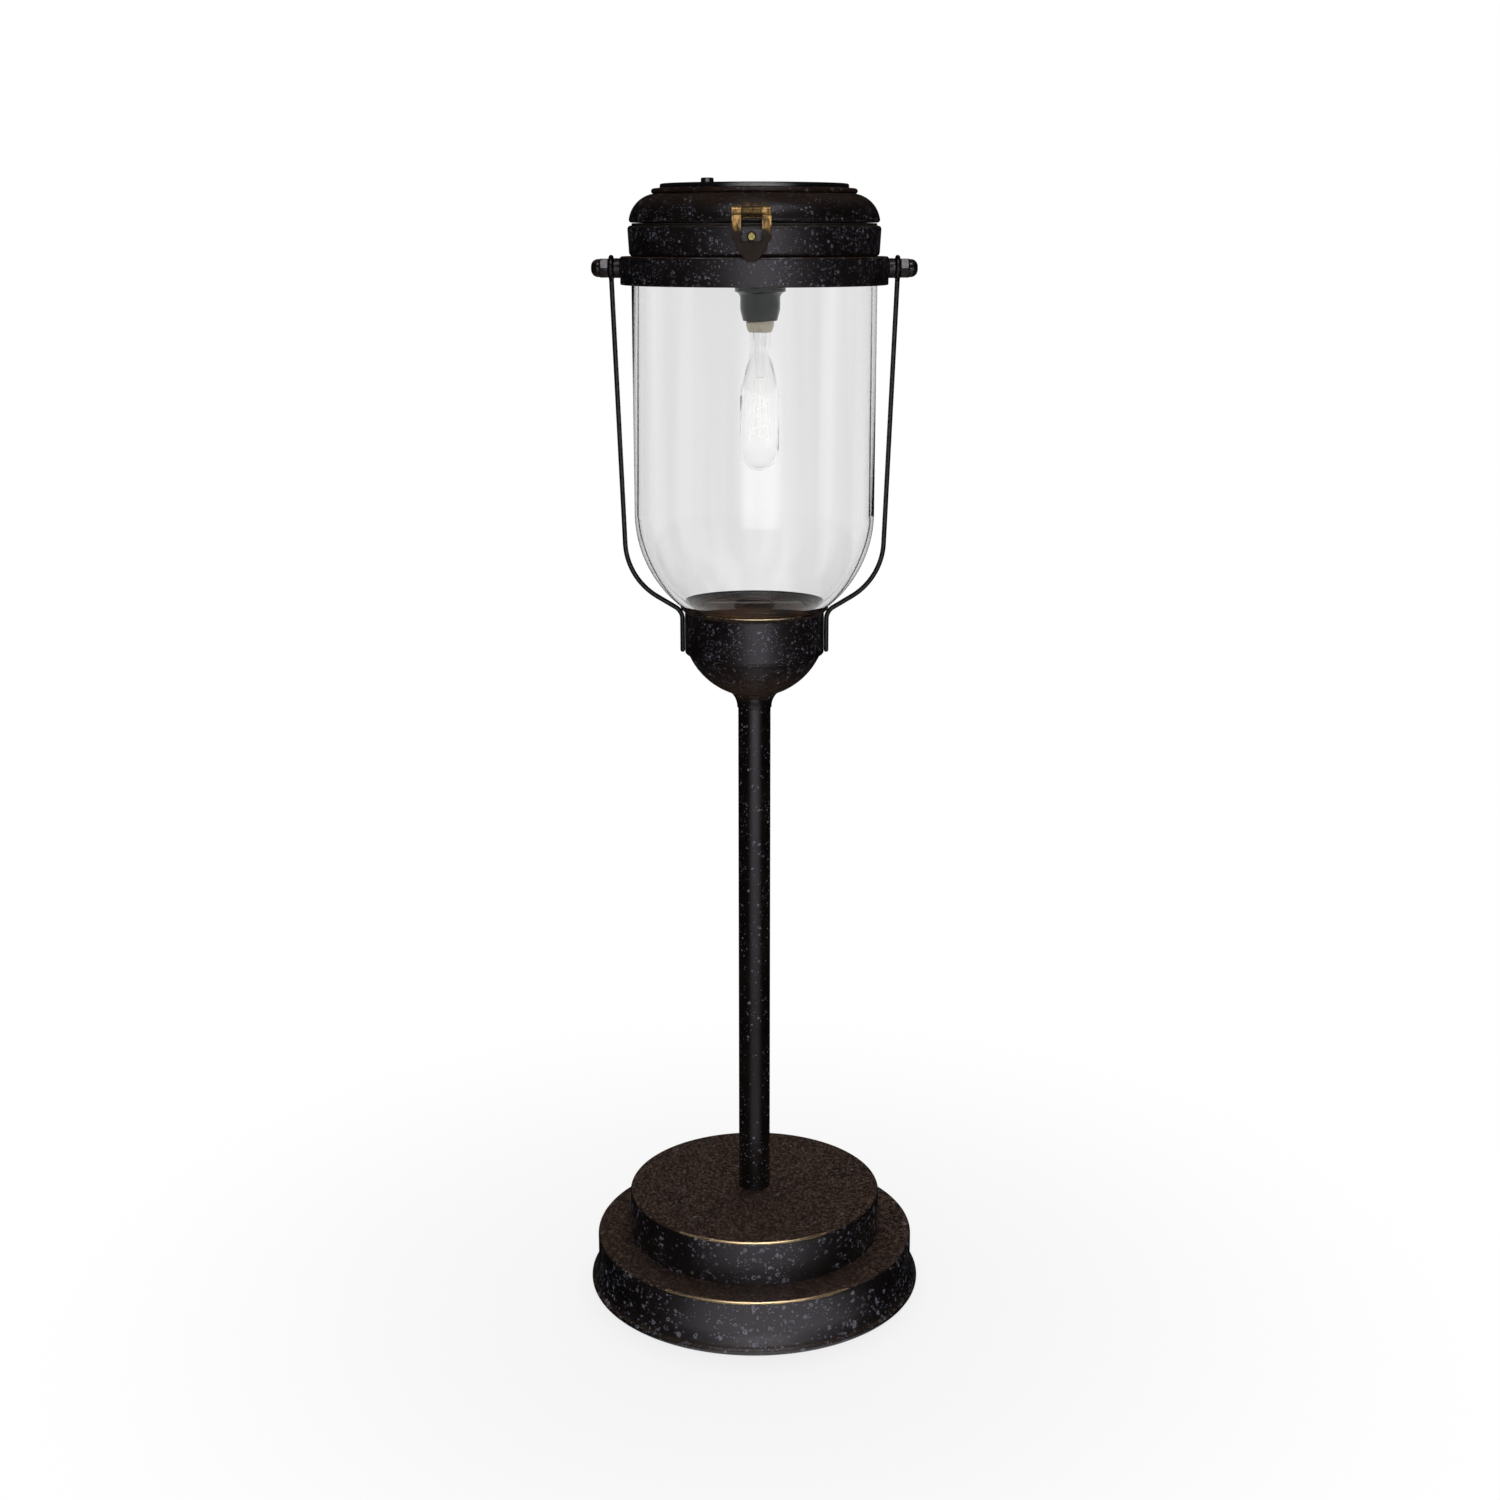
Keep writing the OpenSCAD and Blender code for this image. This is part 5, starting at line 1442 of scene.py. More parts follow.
@dataclass
class Harness:
    """The band round the jar's mouth and the two side wires that hang from its studs."""

    band_in: float = 64.0
    band_r: float = 65.2
    band_z: float = 530.1
    band_top: float = 543.5
    flange_in: float = 48.0
    sheet: float = 1.2
    stud_z: float = 537.9
    stud_r: float = 2.5
    bush_r: float = 4.7
    bush_end: float = 68.4
    eye_x: float = 69.6
    eye_r: float = 5.1
    wire_r: float = 1.2
    nut_x: float = 70.8
    nut_flats: float = 9.0
    nut_hex: float = 4.3
    nut_dome: float = 4.3
    dome_bend: float = 3.4
    head_r: float = 4.0
    head_h: float = 0.8
    head_sunk: float = 0.93
    stud_past: float = 5.5
    bush_gap: float = 0.05
    leg: tuple[float, float, float] = (36.45, 349.0, 364.9)
    foot_bend: float = 7.0
    arm_angle: float = 59.0
    arm_centre: tuple[float, float] = (32.1, 404.512)
    arm_bend: float = 32.8
    stem_turn: float = -2.08845
    stem_top: tuple[float, float] = (69.6, 532.8)

    def wire_path(self) -> Array:
        """The wire's centre line: up beside the cup, out, and round the jar's belly to the stud.

        Returns:
            Its points in the plane through the lamp's axis.
        """
        x, low, high = self.leg
        bend = arc(x + self.foot_bend, high, self.foot_bend, 180, 180 - self.arm_angle, 14)
        belly = arc(*self.arm_centre, self.arm_bend, -self.arm_angle, self.stem_turn, 28)
        rise = np.linspace(belly[-1], self.stem_top, 24)[1:]
        flat = np.concatenate([np.linspace((x, low), (x, high), 8)[:-1], bend, belly, rise])
        return np.stack([flat[:, 0], np.zeros(len(flat)), flat[:, 1]], -1)

    def wire(self, side: float) -> Shell:
        """The wire of one side, with the eye that goes round the stud.

        Args:
            side: -1 for the left wire, 1 for the right.

        Returns:
            Its shell.
        """
        path = self.wire_path() * (side, 1, 1)
        a = np.linspace(0, 2 * np.pi, 48, endpoint=False)[:, None]
        b = np.linspace(0, 2 * np.pi, 16, endpoint=False)[None, :]
        reach = self.eye_r + self.wire_r * np.cos(b)
        x = np.broadcast_to(side * (self.eye_x + self.wire_r * np.sin(b)), (48, 16))
        eye = np.stack([x, reach * np.sin(a), self.stud_z - reach * np.cos(a)], -1)
        return Shell().add(rounded_tube(path, self.wire_r, 24)).add(eye, ring=True)

    def nut(self, side: float) -> Shell:
        """A domed nut: a six-sided prism cut back by cones at both ends, and a dome on it.

        The radius at angle a is half the flats over the cosine of the angle from the middle of the nearest
        side, and never more than the cone's radius at that height.

        Args:
            side: -1 for the left nut, 1 for the right.

        Returns:
            Its shell.
        """
        flat = self.nut_flats / 2
        point, dome = self.nut_flats / math.sqrt(3), flat - 0.2
        sector = np.radians([-30, -28, -24, -14, 0, 14, 24, 28])
        a = np.concatenate([sector + math.radians(60 * i) for i in range(6)])
        hexagon = flat / np.cos((a + math.pi / 6) % (math.pi / 3) - math.pi / 6)
        rows = [(0, 0), (flat, 0), (point, 0.6), (point, self.nut_hex - 0.6), (flat, self.nut_hex)]
        top = self.nut_hex + self.nut_dome
        bend = self.dome_bend
        rows += [(dome, self.nut_hex + 0.01), (dome, top - bend)]
        rows += [(dome - bend + r, z) for r, z in arc(0, top - bend, bend, 10, 90, 8)] + [(0, top)]
        limit = np.array([r for r, _ in rows])[:, None]
        height = np.array([z for _, z in rows])[:, None]
        reach = np.where(height <= self.nut_hex, np.minimum(limit, hexagon), limit)
        up = np.broadcast_to(height, reach.shape)
        grid = np.stack([reach * np.cos(a), reach * np.sin(a), up], -1)
        return Shell().add(aimed(grid, (side * self.nut_x, 0, self.stud_z), (side, 0, 0)))

    def round_part(self, side: float, start: float, corners: Sequence[Corner], ring: bool) -> Shell:
        """A turned part on a stud's axis, from its section measured outwards from start.

        Args:
            side: -1 for the left stud, 1 for the right.
            start: How far out the section's foot lies.
            corners: The section.
            ring: True if it closes on itself.

        Returns:
            Its shell.
        """
        profile, wear = outline(corners, ring)
        grid = aimed(turned(profile, 48), (side * start, 0, self.stud_z), (side, 0, 0))
        return Shell().add(grid, wear, ring=ring)

    def build(self) -> None:
        """Makes the band, studs, bushes, nuts and wires."""
        band = [
            (self.band_in, self.band_z, 0.5), (self.band_r, self.band_z, 0.5, 0.4),
            (self.band_r, self.band_top, 1.0, 0.75), (self.flange_in, self.band_top, 0.3),
            (self.flange_in, self.band_top - self.sheet, 0.3),
            (self.band_in, self.band_top - self.sheet),
        ]  # fmt: skip
        piece("band_rolled", ring_shell(band, 192).mesh("band"), Look.BAND, Body.STAND, "band")
        head, end = self.band_in - self.head_sunk, self.nut_x + self.stud_past
        shank = [
            (0, 0), (self.head_r, 0, 0.3), (self.head_r, self.head_h), (self.stud_r, self.head_h + 0.01),
            (self.stud_r, end - head), (0, end - head),
        ]  # fmt: skip
        bore, width = self.stud_r + self.bush_gap, self.bush_end - self.band_r
        bush = [(bore, 0), (self.bush_r, 0), (self.bush_r, width), (bore, width)]
        for part, node, start, corners, ring in (
            ("studs", "pivot_studs", head, shank, False),
            ("bushes", "stud_bushes", self.band_r, [(*p, 0.35, 0.5) for p in bush], True),
        ):
            shells = [self.round_part(side, start, corners, ring) for side in (-1, 1)]
            piece(f"{part}_turned", joined(shells).mesh(part), Look.BRONZE, Body.STAND, node)
        nuts = joined([self.nut(side) for side in (-1, 1)])
        piece("nuts_domed", nuts.mesh("nuts"), Look.POLE, Body.STAND, "acorn_nuts")
        for side, node in ((-1, "wire_left"), (1, "wire_right")):
            piece(f"{node}_bent", self.wire(side).mesh(node), Look.WIRE, Body.STAND, node)


@dataclass
class CapRing:
    """The deep ring on the jar's band: its floor carries the lampholder and the battery tray."""

    foot_r: float = 60.69
    top_r: float = 61.49
    low: float = 543.5
    high: float = 557.9
    wall_in: float = 59.6
    mouth_r: float = 57.0
    sheet: float = 1.2
    seal: tuple[float, float] = (0.2, 2.4)
    seal_top: float = 559.0

    def build(self) -> None:
        """Makes the ring and its seal, and finishes what stands in it."""
        ring = [
            (0, self.low), (self.foot_r, self.low, 2.0, 0.3), (self.top_r, self.high, 1.6, 0.5),
            (self.mouth_r, self.high, 0.4), (self.mouth_r, self.high - self.sheet, 0.4),
            (self.wall_in, self.high - self.sheet), (self.wall_in, self.low + self.sheet, 0.8),
            (0, self.low + self.sheet),
        ]  # fmt: skip
        piece("ring_spun", solid_shell(ring, 192).mesh("ring"), Look.BAND, Body.STAND, "cap_ring")
        inner, outer = (self.mouth_r + reach for reach in self.seal)
        seal = ring_shell(hollow(inner, outer, self.high, self.seal_top, 0.3), 144).mesh("seal")
        piece("seal_ring", seal, Look.RUBBER, Body.STAND, "lid_seal")
        for node in ("cap_screws", "cap_nuts", "holder_nut"):
            machined(node, Look.STEEL, Body.STAND, 0.12)
        machined("battery_tray", Look.TRAY, Body.STAND, 0.3)
        machined("battery_cells", Look.WRAP, Body.STAND, 0.3)
        machined("battery_contacts", Look.STEEL, Body.STAND, 0.08)


@dataclass
class Lid:
    """The spun lid with the solar panel on it and the electronics under it."""

    low: float = 559.3
    top: float = 572.7
    roll: float = 1.3
    roll_x: float = 59.4023
    shoulder: tuple[float, float] = (46.63, 558.7)
    shoulder_r: float = 14.2
    sheet: float = 1.2
    hole_r: float = 6.0
    mouth_r: float = 57.0
    window_r: float = 35.0
    window_z: tuple[float, float] = (575.9, 577.1)
    cell_half: float = 24.0416
    cell_z: tuple[float, float] = (575.2, 575.7)
    button: tuple[float, float] = (-21.97, -33.068)
    button_r: float = 3.0
    button_top: float = 579.4
    flange_r: float = 4.2
    flange_z: float = 569.6
    flange_h: float = 1.6

    def shell_corners(self) -> list[Corner]:
        """The lid's section: a rolled lower edge, a shoulder that is part of a circle, and a flat top.

        Returns:
            The section's corners.
        """
        x, z = self.shoulder
        inner = self.shoulder_r - self.sheet
        rise = self.low + self.roll - z
        first, first_in = (math.degrees(math.asin(rise / r)) for r in (self.shoulder_r, inner))
        last = math.degrees(math.asin((self.top - z) / self.shoulder_r))
        last_in = math.degrees(math.asin((self.top - self.sheet - z) / inner))
        return [
            (self.mouth_r, self.low, 0.3),
            *arc(self.roll_x, self.low + self.roll, self.roll, -90, 0, 6),
            *arc(x, z, self.shoulder_r, first, last, 22)[1:],
            (self.hole_r, self.top, 0.2),
            (self.hole_r, self.top - self.sheet, 0.2),
            *arc(x, z, inner, last_in, first_in, 22),
            (self.mouth_r, self.low + self.roll, 0.3),
        ]

    def button_corners(self) -> list[Corner]:
        """The button's section: a plunger, a flange that keeps it in, and a cap with a shallow dish.

        Returns:
            The section's corners.
        """
        top, flange = self.button_top, self.flange_z
        return [
            (0, flange - 3.9), (1.6, flange - 3.9, 0.2), (1.7, flange), (self.flange_r, flange, 0.2),
            (self.flange_r, flange + self.flange_h, 0.2), (self.button_r, flange + self.flange_h),
            (self.button_r, top, 0.6),
            (self.button_r - 1.1, top, 0.5), (self.button_r - 1.9, top - 0.25, 0.5), (0, top - 0.3),
        ]  # fmt: skip

    def build(self) -> None:
        """Makes the lid, its panel, its button and the board below."""
        piece("lid_spun", ring_shell(self.shell_corners(), 192).mesh("lid"), Look.LID, Body.LID, "lid_shell")
        machined("panel_plate", Look.LID, Body.LID, 0.1)
        machined("panel_frame", Look.PANEL, Body.LID, 0.2)
        low, high = self.window_z
        window = [(0, low), (self.window_r, low, 0.2), (self.window_r, high, 0.35), (0, high)]
        disc = solid_shell(window, 128).mesh("window")
        piece("window_disc", disc, Look.WINDOW, Body.LID, "panel_window")
        half = self.cell_half
        cell = slab((-half, -half, self.cell_z[0]), (half, half, self.cell_z[1]), 1.5, 0.1)
        piece("cell_wafer", Shell().add(cell).mesh("cell"), Look.CELL, Body.LID, "solar_cell")
        button = solid_shell(self.button_corners(), 48, self.button)
        piece("button_moulded", button.mesh("button"), Look.PANEL, Body.BUTTON, "push_button")
        machined("panel_screws", Look.STEEL, Body.LID, 0.15)
        machined("circuit_board", Look.BOARD, Body.LID, 0.1)
        machined("board_posts", Look.BRASS, Body.LID, 0.15)
        machined("board_screws", Look.STEEL, Body.LID, 0.15)
        machined("switch_body", Look.PANEL, Body.LID, 0.2)


@dataclass
class Fittings:
    """The hinge behind the lid and the clasp before it."""

    clasp_x: float = -1.3
    knob_z: float = 552.8
    knob_r: float = 2.2
    knob_y: float = -61.25
    knob_len: float = 2.17
    shank_r: float = 1.2
    shank_len: float = 2.2

    def build(self) -> None:
        """Makes the leaves, pins, rivets, clasp, hasp and knob."""
        machined("hinge_leaf_ring", Look.BRONZE, Body.STAND, 0.2)
        machined("hinge_leaf_lid", Look.BRONZE, Body.LID, 0.2)
        machined("hinge_pin", Look.BRASS, Body.STAND, 0.15)
        machined("hinge_rivets_ring", Look.BRASS, Body.STAND, 0.1)
        machined("hinge_rivets_lid", Look.BRASS, Body.LID, 0.1)
        machined("clasp_plate", Look.CLASP, Body.LID, 0.15)
        machined("clasp_pin", Look.BRASS, Body.LID, 0.12)
        machined("hasp", Look.HASP, Body.HASP, 0.25)
        r, end = self.knob_r, self.knob_len
        knob = [
            (0, -self.shank_len), (self.shank_r, -self.shank_len), (self.shank_r, 0), (r, 0.01, 0.2),
            (r - 0.35, end * 0.45, 0.4), (r, end - 0.5, 0.5), (r - 0.6, end, 0.5), (0, end),
        ]  # fmt: skip
        profile, wear = outline(knob, closed=False)
        grid = aimed(turned(profile, 48), (self.clasp_x, self.knob_y, self.knob_z), (0, -1, 0))
        mesh = Shell().add(grid, wear).mesh("knob")
        piece("knob_turned", mesh, Look.BRASS, Body.STAND, "catch_knob")


@dataclass
class Light:
    """The lampholder under the cap ring and the bulb in it."""

    x: float = 2.6
    ring_z: float = 543.5
    nipple_r: float = 5.0
    top_r: float = 12.5
    holder_r: float = 9.8
    holder_foot: float = 512.8
    cap_r: float = 6.9
    cap_foot: float = 507.4
    thread_pitch: float = 2.8
    thread_depth: float = 0.45
    neck_r: float = 5.0
    neck_len: float = 11.0
    swell: float = 24.31
    bulb_top: float = 511.4
    bulb_foot: float = 439.9
    bulb_r: float = 9.7
    bulb_end: float = 12.0
    glass: float = 0.7
    stem_len: float = 26.0
    wire_r: float = 0.28
    coil_r: float = 0.2
    coil_wide: float = 5.0
    coil_deep: float = 1.6
    swings: int = 5
    strands: list[tuple[float, float]] = field(default_factory=lambda: [(-1.4, -5.0), (1.4, 5.0)])

    def holder_corners(self) -> list[Corner]:
        """The lampholder's section: a wide head, a hollow shoulder, a straight skirt, and a tapered mouth.

        Returns:
            The section's corners.
        """
        head, mouth = self.ring_z - 16, self.holder_foot
        return [
            (0, self.ring_z + 7.5), (self.nipple_r, self.ring_z + 7.5, 0.5), (self.nipple_r, self.ring_z),
            (self.top_r, self.ring_z, 0.3), (self.top_r, head, 0.7),
            *arc(self.holder_r + 3.4, head - 4, 3.4, 102, 180, 8),
            (self.holder_r, mouth + 5.6, 1.2), (self.holder_r - 1.4, mouth, 0.6),
            (self.cap_r + 0.35, mouth, 0.3), (self.cap_r + 0.3, mouth + 20), (0, mouth + 21),
        ]  # fmt: skip

    def cap(self) -> Shell:
        """The screw cap: a sleeve whose radius swings with height and angle as a rolled screw thread.

        Returns:
            Its shell.
        """
        foot = self.cap_foot
        z = np.concatenate([[foot, foot + 0.2], np.linspace(foot + 0.6, foot + 20, 76)])
        r = self.cap_r - 1.25 * (np.maximum(foot + 4 - z, 0) / 4) ** 1.5
        inner = [(self.cap_r - 1.8, foot + 4.2), (self.cap_r - 1.8, foot + 0.1)]
        contact = [(2.4, foot + 22), (0, foot + 22)]
        profile = np.concatenate([[(0, foot + 4.2)], inner, np.stack([r, z], -1), contact])
        grid = turned(profile, 72)
        a = np.linspace(0, 2 * np.pi, 72, endpoint=False)
        height = grid[..., 2]
        share = np.clip((height - foot - 4.5) / 2, 0, 1) * np.clip((foot + 20.2 - height) / 1.5, 0, 1)
        reach = np.hypot(grid[..., 0], grid[..., 1])
        phase = 2 * np.pi * height / self.thread_pitch - a
        swing = self.thread_depth * (np.sin(phase) - 1) * share
        factor = np.where(reach > 0, (reach + swing) / np.maximum(reach, 1e-9), 1)
        grid[..., :2] *= factor[..., None]
        grid[..., 0] += self.x
        return Shell().add(grid)

    def bulb_line(self, inset: float) -> Array:
        """One line of the bulb's section: a neck that widens as a cosine, and half an ellipse for its end.

        Args:
            inset: How far the line lies inside the outer one.

        Returns:
            Its points from the neck down to the tip.
        """
        t = np.linspace(0, 1, 20)
        r = self.neck_r + (self.bulb_r - self.neck_r) * (1 - np.cos(np.pi * t)) / 2 - inset
        z = self.bulb_top - self.neck_len - self.swell * t
        a = np.radians(np.linspace(0, 90, 20))[1:]
        end_r = (self.bulb_r - inset) * np.cos(a)
        end_z = self.bulb_foot + self.bulb_end - (self.bulb_end - inset) * np.sin(a)
        line = [(self.neck_r - inset, self.bulb_top), *pairs(r, z), *pairs(end_r, end_z)]
        line[-1] = (0.0, self.bulb_foot + inset)
        return np.array(line)

    def bulb(self) -> Shell:
        """The bulb's wall: its outer line up from the tip, the rim, and its inner line back down."""
        profile = np.concatenate([self.bulb_line(0.0)[::-1], self.bulb_line(self.glass)])
        return Shell().add(turned(profile, 64, (self.x, 0)))

    def filament(self) -> Shell:
        """Two lead-in wires, a middle support and a wavy strand between them, each a thin tube.

        Returns:
            Its shell.
        """
        top, low = self.bulb_top - self.stem_len, self.bulb_foot + self.bulb_end + 2
        made = Shell()
        for start, end in self.strands:
            t = np.linspace(0, 1, 40)
            x = self.x + start + (end - start) * t**1.3
            path = np.stack([x, np.zeros(40), top - 0.4 + (low - top) * t], -1)
            made.add(rounded_tube(path, self.wire_r, 10))
        t = np.linspace(0, 1, 160)
        x = self.x + self.coil_wide * np.cos(np.pi * self.swings * t)
        z = low + 0.5 + (top - low - 8) * t
        y = self.coil_deep * np.sin(2 * np.pi * self.swings * t)
        made.add(rounded_tube(np.stack([x, y, z], -1), self.coil_r, 8, (0.05, 1, 0.05)))
        z = np.linspace(top - 0.3, low + 3, 12)
        middle = np.stack([np.full(12, self.x), np.zeros(12), z], -1)
        return made.add(rounded_tube(middle, self.wire_r, 10))

    def build(self) -> None:
        """Makes the lampholder, the cap, the bulb, its stem and its wires."""
        holder = solid_shell(self.holder_corners(), 72, (self.x, 0))
        piece("holder_moulded", holder.mesh("holder"), Look.HOLDER, Body.STAND, "lampholder")
        piece("cap_rolled", self.cap().mesh("cap"), Look.CAP_BRASS, Body.STAND, "bulb_cap")
        piece("bulb_blown", self.bulb().mesh("bulb"), Look.BULB, Body.STAND, "bulb_glass")
        top, flare = self.bulb_top, self.neck_r - self.glass - 0.1
        stem = [
            (0, top - 1), (flare, top - 1, 0.3), (flare - 0.6, top - 4, 3.0),
            (2.6, top - self.neck_len, 3.0),
            (2.4, top - self.stem_len, 0.9), (0, top - self.stem_len),
        ]  # fmt: skip
        pressed = solid_shell(stem, 48, (self.x, 0)).mesh("stem")
        piece("stem_pressed", pressed, Look.BULB, Body.STAND, "bulb_stem")
        wires = self.filament().mesh("filament")
        piece("filament_wires", wires, Look.TUNGSTEN, Body.STAND, "filament")


# ------------------------------------------------------------------------------------------------ studio


@dataclass(frozen=True)
class Panel:
    """A soft lamp that mirrors and glass don't show: its size, place and target, and its brightness."""

    name: str
    size: tuple[float, float]
    place: tuple[float, float, float]
    target: tuple[float, float, float]
    radiance: float

    def build(self) -> None:
        """Places the lamp. Its power is its face's radiance times pi times its area."""
        data = bpy.data.lights.new(self.name, "AREA")
        data.shape = "RECTANGLE"
        data.size, data.size_y = self.size
        data.energy = self.radiance * math.pi * self.size[0] * self.size[1]
        lamp = bpy.data.objects.new(self.name, data)
        lamp.location = self.place
        away = Vector(self.target) - Vector(self.place)
        lamp.rotation_euler = away.to_track_quat("-Z", "Y").to_euler()
        lamp.visible_glossy = lamp.visible_transmission = False
        bpy.context.scene.collection.objects.link(lamp)


def stage_surface(name: str, grid: Array, material: bpy.types.Material) -> bpy.types.Object:
    """Makes an open turned surface of the studio, in metres, which isn't part of the lamp.

    Args:
        name: The object's name.
        grid: Its points, as rows, columns and the three axes. The last column joins the first.
        material: What it is made of.

    Returns:
        The object, marked as stage.
    """
    rows, columns, _ = grid.shape
    index = np.arange(rows * columns).reshape(rows, columns)
    shifted = np.roll(index, -1, axis=1)
    quads = np.stack([index[:-1], index[1:], shifted[1:], shifted[:-1]], -1).reshape(-1, 4)
    mesh = bpy.data.meshes.new(name)
    mesh.from_pydata(grid.reshape(-1, 3).tolist(), [], quads.tolist())
    mesh.materials.append(material)
    made = bpy.data.objects.new(name, mesh)
    bpy.context.scene.collection.objects.link(made)
    return made


@dataclass(frozen=True)
class Tent:
    """A reflection tent that only mirrors see: pale in front of the lamp, dark beside, behind and above it.

    Round metal falls dark towards its sides in it, as it does between black cards in a studio. Of the two
    brighter cards in its wall the low one gives the glass its soft stripe and the thin upper one, the
    strip, lights the disc's edge. A card in its roof draws the thin lights along rounded edges.

    Each edges field holds where a brightness starts and ends rising, and where it starts and ends falling:
    in Z for what stands in the wall, and in distance from the axis for the mat and the roof's card. Each
    fade field holds the cosines of the angle from straight ahead between which a brightness comes up.
    """

    inner: float = 0.089
    radius: float = 2.4
    height: float = 2.1
    dark: float = 0.008
    turn: float = 6.0
    mat_glow: tuple[float, float, float] = (1.35, 0.4, 1.0)
    mat_edges: tuple[float, ...] = (0.12, 0.24, 0.35, 0.6)
    wall_glow: tuple[float, float] = (0.1, 0.35)
    wall_edges: tuple[float, ...] = (0.45, 0.65, 1.2, 1.6)
    wall_from: tuple[float, float] = (0.001, 0.2)
    fade: tuple[float, float] = (0.66, 0.995)
    card_glow: float = 10.0
    card_edges: tuple[float, ...] = (0.02, 0.12, 0.25, 0.42)
    card_fade: tuple[float, float] = (0.92, 0.985)
    strip_glow: float = 5.0
    strip_edges: tuple[float, ...] = (0.575, 0.6, 0.7, 0.73)
    strip_fade: tuple[float, float] = (0.7, 0.97)
    roof_glow: float = 8.0
    roof_edges: tuple[float, ...] = (0.7, 0.8, 1.3, 1.4)
    roof_fade: tuple[float, float] = (0.75, 0.9)
    roof_from: tuple[float, float] = (2.0, 2.09)

    def build(self) -> None:
        """Makes the mat, wall and roof as one surface, bright ahead of the lamp, with its cards."""
        material = bpy.data.materials.new("tent_cloth")
        b = emptied(material)
        split = b.axes(b.place(METRES))
        up, away = split["Z"], b.from_axis(split)
        turn = math.radians(self.turn)
        ahead = b.plus(b.times(split["X"], math.sin(turn)), b.times(split["Y"], -math.cos(turn)))
        ahead = b.calc("DIVIDE", ahead, away)
        near, middle, far = self.mat_glow
        mat = b.step(away, *self.mat_edges[:2], near, middle)
        mat = b.plus(mat, b.step(away, *self.mat_edges[2:], 0.0, far - middle))
        wall = b.stripe(up, self.wall_edges, *self.wall_glow)
        glow = b.times(b.blend(b.step(up, *self.wall_from), mat, wall), b.step(ahead, *self.fade))
        card = b.times(b.step(ahead, *self.card_fade), b.stripe(up, self.card_edges, 0.0, self.card_glow))
        strip = b.stripe(up, self.strip_edges, 0.0, self.strip_glow)
        card = b.plus(card, b.times(b.step(ahead, *self.strip_fade), strip))
        roof = b.times(b.step(up, *self.roof_from), b.step(ahead, *self.roof_fade, 0.0, self.roof_glow))
        roof = b.times(roof, b.stripe(away, self.roof_edges))
        strength = b.larger(b.larger(glow, card), b.larger(roof, self.dark))
        emission = b.node("ShaderNodeEmission", {"Strength": strength}).outputs[0]
        b.node("ShaderNodeOutputMaterial", {"Surface": emission})
        mat_line = [(r, 0.0003) for r in (self.inner, 0.12, 0.2, 0.5, 1.2, self.radius)]
        roof_line = [(r, self.height) for r in (self.radius, 1.2, 0.01)]
        tent = stage_surface("reflection_tent", turned(np.array(mat_line + roof_line), 96), material)
        tent.visible_camera = tent.visible_diffuse = tent.visible_transmission = False
        tent.visible_shadow = tent.visible_volume_scatter = False


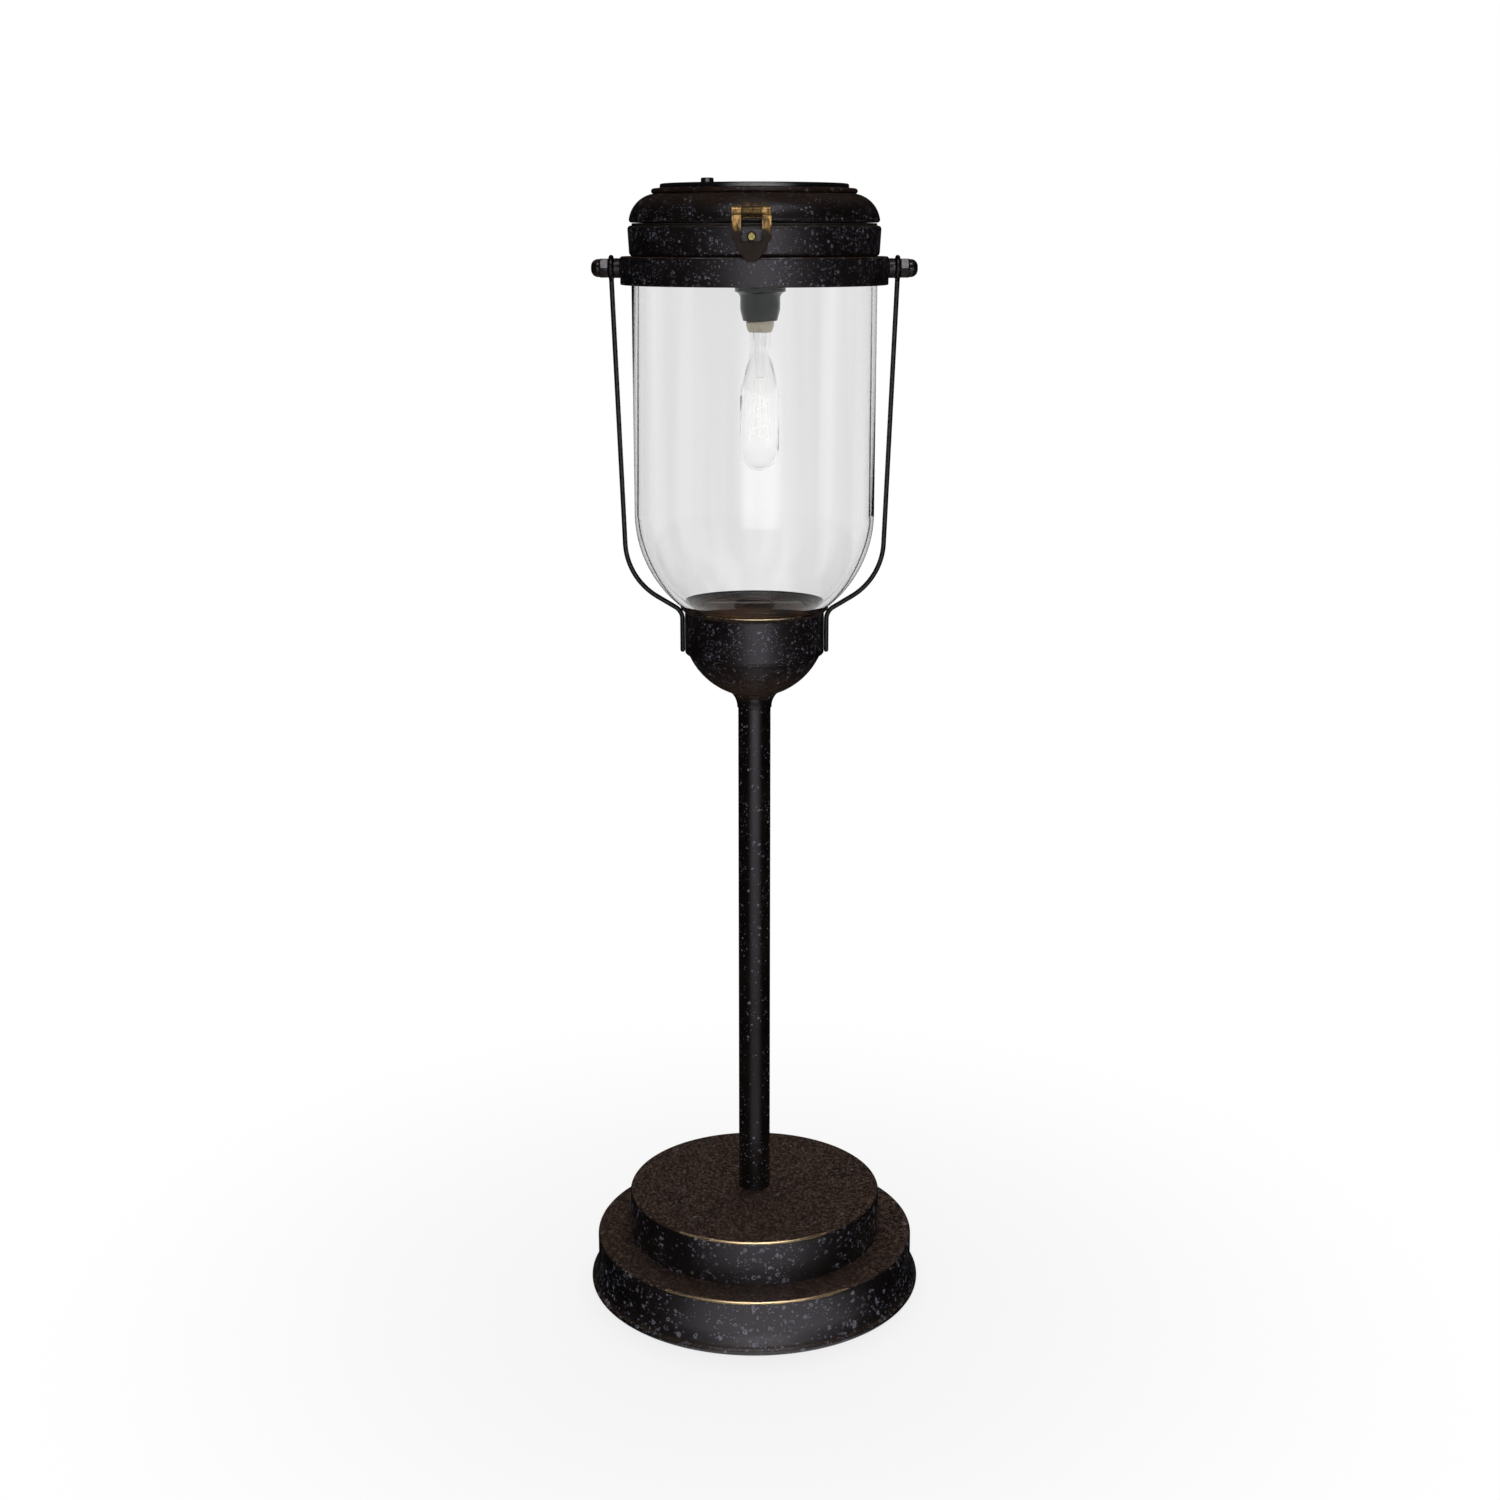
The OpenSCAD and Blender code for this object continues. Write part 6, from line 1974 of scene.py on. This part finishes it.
@dataclass(frozen=True)
class Studio:
    """Camera, lamps, pale floor and white background."""

    distance: float = 1.019
    height: float = 0.553
    pitch: float = 14.14
    focal_px: float = 2040.0
    frame_px: float = 1500.0
    axis_px: float = 754.4
    ambient: float = 0.38
    mirrored: float = 0.02
    floor_r: float = 40.0
    floor_glow: tuple[float, float] = (0.8, 1.0)
    floor_fade: tuple[float, float] = (0.08, 0.42)
    sky_fade: tuple[float, float] = (0.05, 0.17)
    lamps: tuple[Panel, ...] = (
        Panel("front_lamp", (0.5, 0.36), (0.0, -1.42, 0.22), (0.0, 0.0, 0.3), 7.0),
        Panel("top_lamp", (1.3, 1.0), (0.1, 0.8, 1.6), (0.0, 0.0, 0.1), 3.2),
    )

    def camera(self) -> None:
        """Makes the camera, fitted to the circles of the photograph."""
        data = bpy.data.cameras.new("camera")
        data.sensor_width = 36.0
        data.lens = data.sensor_width * self.focal_px / self.frame_px
        data.shift_x = (self.frame_px / 2 - self.axis_px) / self.frame_px
        data.clip_start, data.clip_end = 0.05, 50.0
        made = bpy.data.objects.new("camera", data)
        made.location = (0.0, -self.distance, self.height)
        made.rotation_euler = (math.radians(90 - self.pitch), 0.0, 0.0)
        bpy.context.scene.collection.objects.link(made)
        bpy.context.scene.camera = made

    @staticmethod
    def seen(b: Board) -> Socket:
        """1 for rays that show the background: from the camera, from a mirror, or through glass.

        Args:
            b: The board of the material or world.

        Returns:
            The value's socket.
        """
        path = b.node("ShaderNodeLightPath").outputs
        first = b.larger(path["Is Camera Ray"], path["Is Glossy Ray"])
        return b.larger(first, path["Is Transmission Ray"])

    def world(self) -> None:
        """White where it is seen, nearly black high up after a mirror, and a weaker light otherwise."""
        world = bpy.data.worlds.new("studio")
        b = emptied(world)
        path = b.node("ShaderNodeLightPath").outputs
        sky = b.axes(b.node("ShaderNodeTexCoord").outputs["Generated"])["Z"]
        dimmed = b.times(b.step(path["Glossy Depth"], 0.4, 0.6), b.step(sky, *self.sky_fade))
        white = b.times(self.seen(b), b.step(dimmed, 0.0, 1.0, 1.0, self.mirrored))
        strength = b.larger(white, b.times(path["Is Diffuse Ray"], self.ambient))
        shade = b.node("ShaderNodeBackground", {"Color": WHITE, "Strength": strength})
        b.node("ShaderNodeOutputWorld", {"Surface": shade.outputs[0]})
        bpy.context.scene.world = world

    def floor(self) -> None:
        """A pale disc that takes the lamp's shadow near it and melts into the background further out."""
        material = bpy.data.materials.new("pale_floor")
        b = emptied(material)
        matt = b.node("ShaderNodeBsdfDiffuse", {"Color": (0.86, 0.86, 0.86, 1)})
        glow = b.node("ShaderNodeEmission", {"Color": WHITE, "Strength": 1.0})
        away = b.vector("LENGTH", {0: b.place(METRES)}, "Value")
        share = b.times(self.seen(b), b.step(away, *self.floor_fade, *self.floor_glow))
        both = b.node("ShaderNodeMixShader", {0: share, 1: matt.outputs[0], 2: glow.outputs[0]})
        b.node("ShaderNodeOutputMaterial", {"Surface": both.outputs[0]})
        line = np.array([(r, 0.0) for r in (1e-5, 0.1, 0.3, 1.0, 2.0, self.floor_r)])
        stage_surface("floor", turned(line, 64), material)

    def build(self) -> None:
        """Sets up the whole studio."""
        self.camera()
        self.world()
        self.floor()
        Tent().build()
        for lamp in self.lamps:
            lamp.build()
        bpy.context.scene.view_settings.view_transform = "Standard"


def main() -> None:
    """Builds the studio and the lamp, and writes down both boxes."""
    logging.basicConfig(level=logging.INFO, format="%(name)s: %(message)s")
    Studio().build()
    for part in (Base(), Stem(), Jar(), Harness(), CapRing(), Lid(), Fittings(), Light()):
        LOG.info("%s", type(part).__doc__)
        part.build()


if __name__ == "__main__":
    main()
